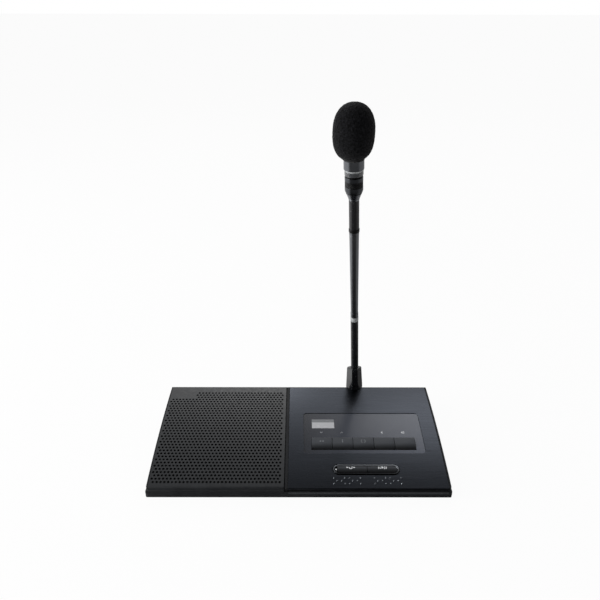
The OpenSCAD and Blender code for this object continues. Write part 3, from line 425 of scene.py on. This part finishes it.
def ring_faces(rings, count, close=True):
    """Faces between rings of points, each of the same count."""
    faces = []
    for j in range(len(rings) if close else len(rings) - 1):
        a = rings[j]
        b = rings[(j + 1) % len(rings)]
        for i in range(count):
            k = (i + 1) % count
            faces.append((a + i, a + k, b + k, b + i))
    return faces


LATHE_COUNT = 72
LATHE_ANGLE = 20


def lathe(name, outline, look, body, node=None, bevel=0.12):
    """A turned piece: the outline is a closed loop of (length, radius) round the stem's axis."""
    points = []
    for length, radius in outline:
        points += stem_ring(radius, length, LATHE_COUNT)
    rings = [j * LATHE_COUNT for j in range(len(outline))]
    piece = new_piece(name, points, ring_faces(rings, LATHE_COUNT), look, body)
    if bevel:
        round_edges(piece, bevel, 2, LATHE_ANGLE)
    if node:
        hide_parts(node)


# Flexible necks: each sleeve spans one joint, from the middle of a length to the next
SLEEVE_RIDGE = 0.03
SLEEVE_PITCH = 1.1
SLEEVE_STEP = 0.275
SLEEVE_WALL = 0.4
SLEEVE_SUNK = 0.4
SLEEVE_COUNT = 48
LOWER_BODIES = ["base", "lower_neck_1", "lower_neck_2", "lower_neck_3", "lower_neck_4", "stem"]
UPPER_BODIES = ["stem", "upper_neck_1", "upper_neck_2", "head"]


def sleeve(name, end, radius, node, first):
    """A length of the neck's cover, straight from start to end; it may begin before the start."""
    steps = round((end - first) / SLEEVE_STEP)
    points = []
    for j in range(steps + 1):
        length = first + (end - first) * j / steps
        ridge = SLEEVE_RIDGE * math.cos(2 * math.pi * length / SLEEVE_PITCH)
        points += stem_ring(radius + ridge, length, SLEEVE_COUNT)
    for length in (end, first):
        points += stem_ring(radius - SLEEVE_WALL, length, SLEEVE_COUNT)
    rings = [j * SLEEVE_COUNT for j in range(steps + 3)]
    piece = new_piece(name, points, ring_faces(rings, SLEEVE_COUNT), "sleeve", None)
    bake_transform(piece)
    if node:
        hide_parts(node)


def make_neck(prefix, bodies, start, end, radius, first):
    """A sleeve for each joint of a neck; the first one begins at a place of its own."""
    step = (end - start) / (len(bodies) - 1)
    for i in range(len(bodies) - 1):
        bend = start + i * step
        node = bodies[i] if i else None
        begin = bend if i else first
        sleeve(f"{prefix}_sleeve_{i + 1}", bend + step, radius, node, begin)


def make_necks():
    make_neck("lower", LOWER_BODIES, BOOT_TOP, LOWER_END, LOWER_R, BOOT_BACK - SLEEVE_SUNK)
    make_neck("upper", UPPER_BODIES, COLLAR_END, UPPER_END, UPPER_R, COLLAR_END)


PLUG_END = BOOT_BACK - 0.8
FERRULE_STEP = 82.4
BAND_START = 162.4
COLLAR_START = 165.0


def make_stem():
    lathe("plug", [
        (0, 3.35), (PLUG_END, 3.35), (PLUG_END, 1.85), (0, 1.85)
    ], "steel", "base", "neck_plug")
    lathe("ferrule", [
        (LOWER_END, 2.6), (LOWER_END, 3.3), (LOWER_END + 0.5, 3.42), (FERRULE_STEP, 3.42),
        (FERRULE_STEP, 2.6)
    ], "pale_painted_highlight", "stem", "lower_ferrule")
    lathe("ferrule_top", [
        (FERRULE_STEP, 2.5), (FERRULE_STEP, 3.3), (FERRULE_END - 0.3, 3.3), (FERRULE_END, 3.2),
        (FERRULE_END, 2.5)
    ], "tube", "stem")
    lathe("tube", [
        (FERRULE_END, 2.4), (FERRULE_END, 3.0), (FERRULE_END + 0.4, 3.1), (BAND_START, 3.78),
        (BAND_START, 2.4)
    ], "tube", "stem", "middle_tube")
    lathe("collar_band", [
        (BAND_START, 2.5), (BAND_START, 3.85), (COLLAR_START, 3.95), (COLLAR_START, 2.5)
    ], "tube", "stem", bevel=0.1)
    lathe("collar", [
        (COLLAR_START, 2.5), (COLLAR_START, 4.1), (COLLAR_START + 0.3, 4.2), (COLLAR_END - 0.3, 4.2),
        (COLLAR_END, 4.0), (COLLAR_END, 2.5)
    ], "band", "stem", "middle_collar")


KNURL_START = 203.0
KNURL_END = 207.6
KNURL_COUNT = 26
KNURL_DEPTH = 0.28
KNURL_SUNK = 0.05
KNURL_RISE = 1.6
KNURL_CREST = 1.6
KNURL_RUN_OUT = 8
KNURL_BORE = 5.3
KNURL_AROUND = 8 * KNURL_COUNT
KNURL_ALONG = 30


def triangle_wave(value):
    return abs(value % 1 * 2 - 1)


def make_knurl():
    """The gripping band of the lock ring: crossed grooves that run out at both ends."""
    height = KNURL_END - KNURL_START
    points = []
    for j in range(KNURL_ALONG + 1):
        share = j / KNURL_ALONG
        length = KNURL_START + height * share
        edge = min(1.0, KNURL_RUN_OUT * min(share, 1 - share))
        rise = share * height / KNURL_RISE
        for i in range(KNURL_AROUND):
            turn = i / KNURL_AROUND
            a = triangle_wave(turn * KNURL_COUNT + rise)
            b = triangle_wave(turn * KNURL_COUNT - rise)
            groove = 1 - min(1.0, KNURL_CREST * min(a, b))
            r = LOCK_R - KNURL_SUNK - KNURL_DEPTH * groove * edge
            angle = 2 * math.pi * turn
            points.append(on_stem(r * math.cos(angle), r * math.sin(angle), length))
    for length in (KNURL_END, KNURL_START):
        points += stem_ring(KNURL_BORE, length, KNURL_AROUND)
    rings = [j * KNURL_AROUND for j in range(KNURL_ALONG + 3)]
    faces = ring_faces(rings, KNURL_AROUND)
    new_piece("lock_ring_knurl", points, faces, "band", "lock_ring")


CONE_START = UPPER_END - 0.1
CONE_RIM_END = 193.3
CONE_STEP = 195.0
LOCK_START = 198.4
LOCK_TAPER = 199.4
LOCK_FULL = 200.2
CHAMFER_END = LIGHT_END + 1.3
BARREL_SHOULDER = BARREL_END - 0.8


def make_head():
    lathe("cone_rim", [
        (CONE_START, 3.5), (CONE_START, 3.95), (CONE_RIM_END, 4.3), (CONE_RIM_END, 3.5)
    ], "bright", "head")
    lathe("cone", [
        (CONE_RIM_END, 2.6), (CONE_RIM_END, 4.28), (CONE_STEP, 4.9), (CONE_END, 6.0), (CONE_END, 5.2)
    ], "barrel", "head", "neck_cone")
    lathe("lock_groove", [
        (CONE_END, 5.3), (CONE_END, 5.8), (LOCK_START, 5.8), (LOCK_START, 5.3)
    ], "band", "lock_ring", bevel=0)
    lathe("lock_lower_band", [
        (LOCK_START, 5.3), (LOCK_START, 6.3), (LOCK_TAPER, 6.62), (LOCK_FULL, LOCK_R),
        (KNURL_START, LOCK_R), (KNURL_START, 5.3)
    ], "gunmetal", "lock_ring", "lock_ring", bevel=0.15)
    make_knurl()
    lathe("lock_upper_band", [
        (KNURL_END, 5.3), (KNURL_END, LOCK_R), (LOCK_END, LOCK_R), (LOCK_END, 5.3)
    ], "gunmetal", "lock_ring", bevel=0.2)
    lathe("head_groove", [
        (LOCK_END, 4.8), (LOCK_END, 6.3), (GROOVE_END, 6.3), (GROOVE_END, 4.8)
    ], "band", "head", "head_band", bevel=0)
    lathe("head_light", [
        (GROOVE_END, 5.2), (GROOVE_END, 6.85), (GROOVE_END + 0.3, 7.0), (LIGHT_END, 7.0),
        (LIGHT_END, 5.2)
    ], "light_ring", "head", "light_ring", bevel=0.25)
    lathe("barrel_chamfer", [
        (LIGHT_END, 5.3), (LIGHT_END, 7.05), (CHAMFER_END, BARREL_R), (CHAMFER_END, 5.3)
    ], "pale_painted_highlight", "head", bevel=0.1)
    lathe("barrel", [
        (CHAMFER_END, 4), (CHAMFER_END, BARREL_R), (BARREL_SHOULDER, BARREL_R), (BARREL_END, 6.6),
        (BARREL_END, 4)
    ], "barrel", "head", "head_barrel")


FOAM_UPPER_POWER = 2.3
FOAM_LOWER_POWER = 2.75
FOAM_TILT = 3.0
FOAM_PORE = 1.3
FOAM_FINE_PORE = 0.45 * FOAM_PORE
FOAM_FINE_SHARE = 0.6
FOAM_ROUGH = 0.22
FOAM_AROUND = 220
FOAM_ALONG = 150
FOAM_FIRST = -62.0
FOAM_LAST = 89.2
FOAM_BORE = 7.8
FOAM_COLLAR = (0.5, 6)


def foam_outline(angle):
    """Radius and length of the windscreen's outline at this angle, from -90 to 90 degrees."""
    a = math.radians(angle)
    power = 2 / (FOAM_UPPER_POWER if angle > 0 else FOAM_LOWER_POWER)
    radius = FOAM_R * abs(math.cos(a)) ** power
    length = FOAM_LEN / 2 * (1 + math.copysign(abs(math.sin(a)) ** power, angle))
    return radius, length


def foam_cells(p):
    """How far the foam's grain lifts or sinks its surface at this place, as a share."""
    return noise.noise(p / FOAM_PORE) + FOAM_FINE_SHARE * noise.noise(p / FOAM_FINE_PORE)


def make_foam():
    points = []
    centre = FOAM_LEN / 2
    tilt = Matrix.Rotation(math.radians(FOAM_TILT), 3, "Y")
    for j in range(FOAM_ALONG):
        angle = FOAM_FIRST + (FOAM_LAST - FOAM_FIRST) * j / (FOAM_ALONG - 1)
        radius, length = foam_outline(angle)
        for i in range(FOAM_AROUND):
            turn = 2 * math.pi * i / FOAM_AROUND
            p = Vector((radius * math.cos(turn), radius * math.sin(turn), length - centre))
            p = tilt @ (p + p.normalized() * FOAM_ROUGH * foam_cells(p))
            points.append(on_stem(p.x, p.y, FOAM_START + centre + p.z))
    top = tilt @ Vector((0, 0, FOAM_LEN - centre))
    points.append(on_stem(top.x, top.y, FOAM_START + centre + top.z))
    last = (FOAM_ALONG - 1) * FOAM_AROUND
    faces = ring_faces([j * FOAM_AROUND for j in range(FOAM_ALONG)], FOAM_AROUND, close=False)
    for i in range(FOAM_AROUND):
        faces.append((last + i, last + (i + 1) % FOAM_AROUND, len(points) - 1))
    # The underside turns in to the collar round the barrel
    inner = len(points)
    for depth in FOAM_COLLAR:
        points += stem_ring(FOAM_BORE, FOAM_START + depth, FOAM_AROUND)
    faces += ring_faces([inner + FOAM_AROUND, inner, 0], FOAM_AROUND, close=False)
    foam = new_piece("foam", points, faces, "foam", "windscreen")
    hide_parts("windscreen")


# The corners of the boot's right half in plan, as shares of its width and depth
BOOT_HALF = [(0.19, -0.5), (0.5, 0.12), (0.5, 0.3), (0.3, 0.5)]
BOOT_CORNERS = 2 * len(BOOT_HALF)


def boot_points(width, depth):
    right = [(x * width, y * depth) for x, y in BOOT_HALF]
    return right + [(-x, y) for x, y in reversed(right)]


# Height at the front, width, depth, and the fall towards the rear
BOOT_LEVELS = [
    (-2.8, 14.9, 12.0, 0), (0.5, 14.9, 12.0, 0), (12, 14.0, 11.0, 0.22), (22.8, 13.2, 10.1, 0.46),
    (24.5, 13.0, 9.9, 0.46), (25.2, 12.5, 9.4, 0.46), (BOOT_TOP, 11.7, 8.6, 0.46)
]
BOOT_SHIFT = -0.25
BOOT_BORE = 7.0
BOOT_BORE_END = 14.0
# Levels up to this height stand upright on the base, those above it follow the stem
BOOT_FOOT = 1
BOOT_ROUND = 0.55
BOOT_ROUND_STEPS = 4
BOOT_ANGLE = 18


def make_boot():
    """The moulded sleeve where the stem meets the base, with a flat face to the front."""
    points = []
    for length, width, depth, fall in BOOT_LEVELS:
        for x, y in boot_points(width, depth):
            p = on_stem(x + BOOT_SHIFT, y, length - (y + depth / 2) * fall)
            if length < BOOT_FOOT:
                p = stem_origin + Vector((x + BOOT_SHIFT, y, length)) * MM
            points.append(p)
    length, width, depth, fall = BOOT_LEVELS[-1]
    for x, y in boot_points(BOOT_BORE, BOOT_BORE):
        points.append(on_stem(x, y, length - (y + depth / 2) * fall))
    for x, y in boot_points(BOOT_BORE, BOOT_BORE):
        points.append(on_stem(x, y, BOOT_BORE_END))
    rings = [BOOT_CORNERS * j for j in range(len(BOOT_LEVELS) + 2)]
    faces = ring_faces(rings, BOOT_CORNERS, close=False)
    faces.append(tuple(reversed(range(BOOT_CORNERS))))
    piece = new_piece("boot", points, faces, "boot", "base")
    round_edges(piece, BOOT_ROUND, BOOT_ROUND_STEPS, BOOT_ANGLE)
    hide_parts("mic_boot")


SCREW_AT = (-2.0, -5.9, 5.0)
SCREW_R = 1.3
SCREW_COUNT = 24
# Depth from the boot's face and radius of each ring, from the outside inwards
SCREW_RINGS = [(0.3, SCREW_R), (-0.05, SCREW_R), (-0.05, 0.7), (0.3, 0.65)]


def make_set_screw():
    """The screw's end shows in the front of the boot: a flat ring round a dark hole."""
    x, y, length = SCREW_AT
    points = []
    for depth, radius in SCREW_RINGS:
        for i in range(SCREW_COUNT):
            turn = 2 * math.pi * i / SCREW_COUNT
            across, up = radius * math.cos(turn), radius * math.sin(turn)
            points.append(on_stem(x + across, y + depth, length + up))
    faces = ring_faces([j * SCREW_COUNT for j in range(len(SCREW_RINGS))], SCREW_COUNT)
    piece = new_piece("set_screw", points, faces, "bright", "base", smooth=False)
    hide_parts("boot_set_screw")


# Prints and small details on the control side
PRINT_THICK = 0.04


def surface_tree(node):
    mesh = nodes[node].data
    points = [vertex.co.copy() for vertex in mesh.vertices]
    return BVHTree.FromPolygons(points, [list(face.vertices) for face in mesh.polygons])


def height_at(tree, x, y):
    hit = tree.ray_cast(Vector((x * MM, y * MM, 1)), Vector((0, 0, -1)))
    return hit[0].z / MM


def print_shapes(name, node, shapes, look, body):
    """Thin printed shapes, given in plan, lie on the node's top surface."""
    tree = surface_tree(node)
    points, faces = [], []
    for shape in shapes:
        first = len(points)
        count = len(shape)
        for lift in (PRINT_THICK, -PRINT_THICK):
            for x, y in shape:
                points.append(Vector((x, y, height_at(tree, x, y) + lift)) * MM)
        faces.append(tuple(range(first, first + count)))
        faces.append(tuple(reversed(range(first + count, first + 2 * count))))
        for i in range(count):
            k = (i + 1) % count
            faces.append((first + k, first + i, first + count + i, first + count + k))
    new_piece(name, points, faces, look, body, smooth=False)


def round_points(x, y, radius, turns):
    return [(x + radius * math.cos(turn), y + radius * math.sin(turn)) for turn in turns]


def disc(x, y, radius, count=20):
    return round_points(x, y, radius, [2 * math.pi * i / count for i in range(count)])


def arc(x, y, radius, width, start, end, count=14):
    """A curved stroke, as one closed outline, between two angles in degrees."""
    turns = [math.radians(start + (end - start) * i / count) for i in range(count + 1)]
    outer = round_points(x, y, radius + width / 2, turns)
    inner = round_points(x, y, radius - width / 2, turns)
    return outer + inner[::-1]


def stroke(x0, y0, x1, y1, width):
    along = Vector((x1 - x0, y1 - y0)).normalized()
    side = Vector((-along.y, along.x)) * width / 2
    return [(x0 - side.x, y0 - side.y), (x1 - side.x, y1 - side.y), (x1 + side.x, y1 + side.y),
            (x0 + side.x, y0 + side.y)]


CHEVRON_SIZE = 2.0
CHEVRON_TIP = 0.35
CHEVRON_STROKE = 0.5


def chevron(x, y, up):
    side = CHEVRON_SIZE / 2
    tip = CHEVRON_TIP * CHEVRON_SIZE * up
    return [stroke(x - side, y - tip, x, y + tip, CHEVRON_STROKE),
            stroke(x, y + tip, x + side, y - tip, CHEVRON_STROKE)]


def loudspeaker(x, y):
    return [(x - 0.9, y - 0.5), (x - 0.4, y - 0.5), (x + 0.4, y - 1.2), (x + 0.4, y + 1.2),
            (x - 0.4, y + 0.5), (x - 0.9, y + 0.5)]


# How far the prints lie behind a key's rear edge or its middle, and to the left of its middle
ICON_BEHIND = 5.4
SOFTER_LEFT = 0.6
LOUDER_LEFT = 0.9
KEY_FACE = 1.8
TALK_FACE = 1.4
TALK_MARK_LEFT = 1.2


def middle(node):
    low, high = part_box(node)
    return (low + high) / 2 / MM


def make_prints():
    keys = [middle(f"function_key_{i}") for i in range(1, 6)]
    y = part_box("function_key_1")[1].y / MM + ICON_BEHIND
    print_shapes("icon_down", "control_panel", chevron(keys[0].x, y, -1), "faint", "base")
    print_shapes("icon_up", "control_panel", chevron(keys[1].x, y, 1), "faint", "base")
    print_shapes("icon_softer", "control_panel", [
        loudspeaker(keys[3].x - SOFTER_LEFT, y)
    ], "white", "base")
    louder = keys[4].x - LOUDER_LEFT
    print_shapes("icon_louder", "control_panel", [
        loudspeaker(louder, y), arc(louder, y, 1.15, 0.3, -50, 50), arc(louder, y, 1.85, 0.3, -50, 50)
    ], "white", "base")
    row = keys[0].y + KEY_FACE
    print_shapes("mark_1", "function_key_1", [
        disc(keys[0].x - 1.1, row, 0.75, 4), disc(keys[0].x + 1.1, row, 0.75, 4)
    ], "faint", "function_key_1")
    print_shapes("mark_2", "function_key_2", [
        stroke(keys[1].x, row - 1.3, keys[1].x, row + 0.5, 0.6), disc(keys[1].x, row + 1.3, 0.4)
    ], "faint", "function_key_2")
    print_shapes("mark_3", "function_key_3", [
        arc(keys[2].x, row, 1.7, 0.4, -60, 60), arc(keys[2].x, row, 1.7, 0.4, 120, 240)
    ], "faint", "function_key_3")
    left, right = middle("talk_key_left"), middle("talk_key_right")
    row = left.y + TALK_FACE
    mark = left.x - TALK_MARK_LEFT
    print_shapes("talk_mark_left", "talk_key_left", [
        arc(mark, row, 1.2, 0.7, 0, 180, 20), arc(mark, row, 1.2, 0.7, 180, 360, 20),
        stroke(mark - 3.4, row, mark - 2.0, row, 0.9), stroke(mark + 2.0, row, mark + 3.4, row, 0.9)
    ], "white", "talk_key_left")
    print_shapes("talk_mark_right", "talk_key_right", [
        disc(right.x, row, 1.0), arc(right.x, row, 2.0, 0.6, -40, 40),
        arc(right.x, row, 2.0, 0.6, 140, 220), arc(right.x, row, 3.2, 0.6, -24, 24),
        arc(right.x, row, 3.2, 0.6, 156, 204)
    ], "white", "talk_key_right")


# The rim of the housing under the front edge of the control plate: a real ledge, coloured lighter
# than the housing as a painted highlight
RIM_START_X = -8.0
RIM_END_X = 116.5
RIM_MIDDLE_X = (RIM_START_X + RIM_END_X) / 2
RIM_Z = (6.45, 7.35)
RIM_OUT = 0.12
RIM_IN = 0.3
# Rays that look for the housing's front start here
RAY_START_Y = -200


def make_front_rim():
    trees = [surface_tree(node) for node in ("bottom_housing", "upper_frame")]
    low, high = RIM_Z
    points = []
    for x in (RIM_START_X, RIM_END_X):
        for z, back in ((low, RIM_IN), (low, -RIM_OUT), (high, -RIM_OUT), (high, RIM_IN)):
            start = Vector((RIM_MIDDLE_X, RAY_START_Y, z)) * MM
            hits = [tree.ray_cast(start, Vector((0, 1, 0)))[0] for tree in trees]
            y = min(hit.y for hit in hits if hit) / MM
            points.append(Vector((x, y + back, z)) * MM)
    faces = [(0, 1, 5, 4), (1, 2, 6, 5), (2, 3, 7, 6), (3, 0, 4, 7), (3, 2, 1, 0), (4, 5, 6, 7)]
    new_piece("front_rim", points, faces, "edge", "base", smooth=False)


# Stage: floor and light
FLOOR_WHITE = 0.95
FLOOR_COLOUR = (0.93, 0.93, 0.93, 1)
WHITE = (1, 1, 1, 1)
FLOOR_HALF = 100.0
# Reflections see a floor that is dark in front of the object, and a painted shadow of the object to
# its right, in metres
FLOOR_DARK_Y = -0.08
FLOOR_LIGHT_Y = -0.03
FLOOR_FAR_Y = (-0.15, -0.3)
FLOOR_FAR = 0.17
FLOOR_SIDE_X = 0.1
FLOOR_SIDE_SLOPE = 0.5
SHADE_START_X = (0.0, 0.06)
SHADE_END_X = (0.14, 0.22)
SHADE = 0.12
FLOOR_RIGHT = 0.42


def math_node(tree, operation, first, second):
    """A math node over two values, each an output socket or a plain number."""
    node = tree.nodes.new("ShaderNodeMath")
    node.operation = operation
    for place, value in enumerate((first, second)):
        if isinstance(value, (int, float)):
            node.inputs[place].default_value = value
        else:
            tree.links.new(value, node.inputs[place])
    return node.outputs["Value"]


def ramp_node(tree, value, from_min, from_max, to_min=0.0, to_max=1.0):
    """The value's place in the first range, carried over to the second and kept inside it."""
    node = tree.nodes.new("ShaderNodeMapRange")
    node.inputs["From Min"].default_value = from_min
    node.inputs["From Max"].default_value = from_max
    node.inputs["To Min"].default_value = to_min
    node.inputs["To Max"].default_value = to_max
    tree.links.new(value, node.inputs["Value"])
    return node.outputs["Result"]


def split_xyz(tree, source):
    parts = tree.nodes.new("ShaderNodeSeparateXYZ")
    tree.links.new(source, parts.inputs["Vector"])
    return parts.outputs


def ray_kinds(tree):
    """One for camera rays, and one for the rays that gloss and glass send on."""
    path = tree.nodes.new("ShaderNodeLightPath")
    gloss, glass = path.outputs["Is Glossy Ray"], path.outputs["Is Transmission Ray"]
    return path.outputs["Is Camera Ray"], math_node(tree, "MAXIMUM", gloss, glass)


def make_floor():
    mesh = bpy.data.meshes.new("floor")
    h = FLOOR_HALF
    mesh.from_pydata([(-h, -h, 0), (h, -h, 0), (h, h, 0), (-h, h, 0)], [], [(0, 1, 2, 3)])
    floor = bpy.data.objects.new("floor", mesh)
    bpy.context.scene.collection.objects.link(floor)
    material = bpy.data.materials.new("floor")
    material.use_nodes = True
    tree = material.node_tree
    tree.nodes.clear()
    diffuse = tree.nodes.new("ShaderNodeBsdfDiffuse")
    diffuse.inputs["Color"].default_value = FLOOR_COLOUR
    glow = tree.nodes.new("ShaderNodeEmission")
    glow.inputs["Color"].default_value = WHITE
    place = tree.nodes.new("ShaderNodeNewGeometry")
    camera, sent = ray_kinds(tree)
    parts = split_xyz(tree, place.outputs["Position"])
    aside = math_node(tree, "SUBTRACT", math_node(tree, "ABSOLUTE", parts["X"], 0), FLOOR_SIDE_X)
    aside = math_node(tree, "MULTIPLY", math_node(tree, "MAXIMUM", aside, 0), FLOOR_SIDE_SLOPE)
    near = ramp_node(tree, math_node(tree, "ADD", parts["Y"], aside), FLOOR_DARK_Y, FLOOR_LIGHT_Y)
    # Painted shadow of the object on the floor to its right, seen only in reflections
    shade = math_node(tree, "MAXIMUM", ramp_node(tree, parts["X"], *SHADE_START_X, 1, SHADE),
                      ramp_node(tree, parts["X"], *SHADE_END_X, SHADE, FLOOR_RIGHT))
    far = ramp_node(tree, parts["Y"], *FLOOR_FAR_Y, 0, FLOOR_FAR)
    near = math_node(tree, "MAXIMUM", math_node(tree, "MULTIPLY", near, shade), far)
    tree.links.new(math_node(tree, "MAXIMUM", camera, near), glow.inputs["Strength"])
    shown = math_node(tree, "MAXIMUM", camera, sent)
    mix = tree.nodes.new("ShaderNodeMixShader")
    tree.links.new(math_node(tree, "MULTIPLY", shown, FLOOR_WHITE), mix.inputs["Fac"])
    tree.links.new(diffuse.outputs["BSDF"], mix.inputs[1])
    tree.links.new(glow.outputs["Emission"], mix.inputs[2])
    output = tree.nodes.new("ShaderNodeOutputMaterial")
    tree.links.new(mix.outputs["Shader"], output.inputs["Surface"])
    mesh.materials.append(material)


# The studio is white behind the object and gets dark overhead and behind the camera
WORLD_WHITE_Y = 0.72
WORLD_POWER = 2.0
WORLD_LOW = 0.18
WORLD_HIGH = 0.75


def make_world():
    world = bpy.data.worlds.new("world")
    bpy.context.scene.world = world
    world.use_nodes = True
    tree = world.node_tree
    tree.nodes.clear()
    coords = tree.nodes.new("ShaderNodeTexCoord")
    camera, sent = ray_kinds(tree)
    rear = ramp_node(tree, split_xyz(tree, coords.outputs["Generated"])["Y"], 0, WORLD_WHITE_Y)
    white = math_node(tree, "POWER", rear, WORLD_POWER)
    soft = ramp_node(tree, white, 0, 1, WORLD_LOW, WORLD_HIGH)
    # The soft level for diffuse rays, the white backdrop for the others
    level = math_node(tree, "ADD", math_node(tree, "MULTIPLY", white, sent),
                      math_node(tree, "MULTIPLY", soft, math_node(tree, "SUBTRACT", 1.0, sent)))
    sky = tree.nodes.new("ShaderNodeBackground")
    sky.inputs["Color"].default_value = WHITE
    tree.links.new(math_node(tree, "MAXIMUM", level, camera), sky.inputs["Strength"])
    output = tree.nodes.new("ShaderNodeOutputWorld")
    tree.links.new(sky.outputs["Background"], output.inputs["Surface"])


LAMP_AIM = (0, 0, 0.05)

# Name, direction from the aim, distance and size in metres, and radiance
LAMPS = [
    ("key_lamp", (-1.0, -0.45, 0.9), 1.6, 0.9, 2.6),
    ("left_lamp", (-1.0, -0.1, 0.22), 1.5, 0.6, 16.0),
    ("fill_lamp", (0.9, -0.7, 0.8), 1.8, 0.9, 0.6),
    ("rear_lamp", (-0.12, 1.0, 0.78), 1.8, 0.35, 4.0),
    ("side_lamp", (0.5, 1.0, 1.25), 1.8, 0.6, 2.0),
]


def make_lamp(name, direction, distance, size, radiance):
    """A soft square lamp, aimed at the object."""
    data = bpy.data.lights.new(name, "AREA")
    data.shape = "SQUARE"
    data.size = size
    data.energy = radiance * math.pi * size * size
    lamp = bpy.data.objects.new(name, data)
    towards = Vector(direction).normalized()
    lamp.location = Vector(LAMP_AIM) + towards * distance
    lamp.rotation_euler = towards.to_track_quat("Z", "Y").to_euler()
    bpy.context.scene.collection.objects.link(lamp)


def make_light():
    for lamp in LAMPS:
        make_lamp(*lamp)


make_camera()
finish_nodes()
soften_nodes()
make_necks()
make_stem()
make_head()
make_foam()
make_boot()
make_set_screw()
make_prints()
make_front_rim()
make_floor()
make_world()
make_light()
bpy.context.scene.view_settings.view_transform = "Standard"
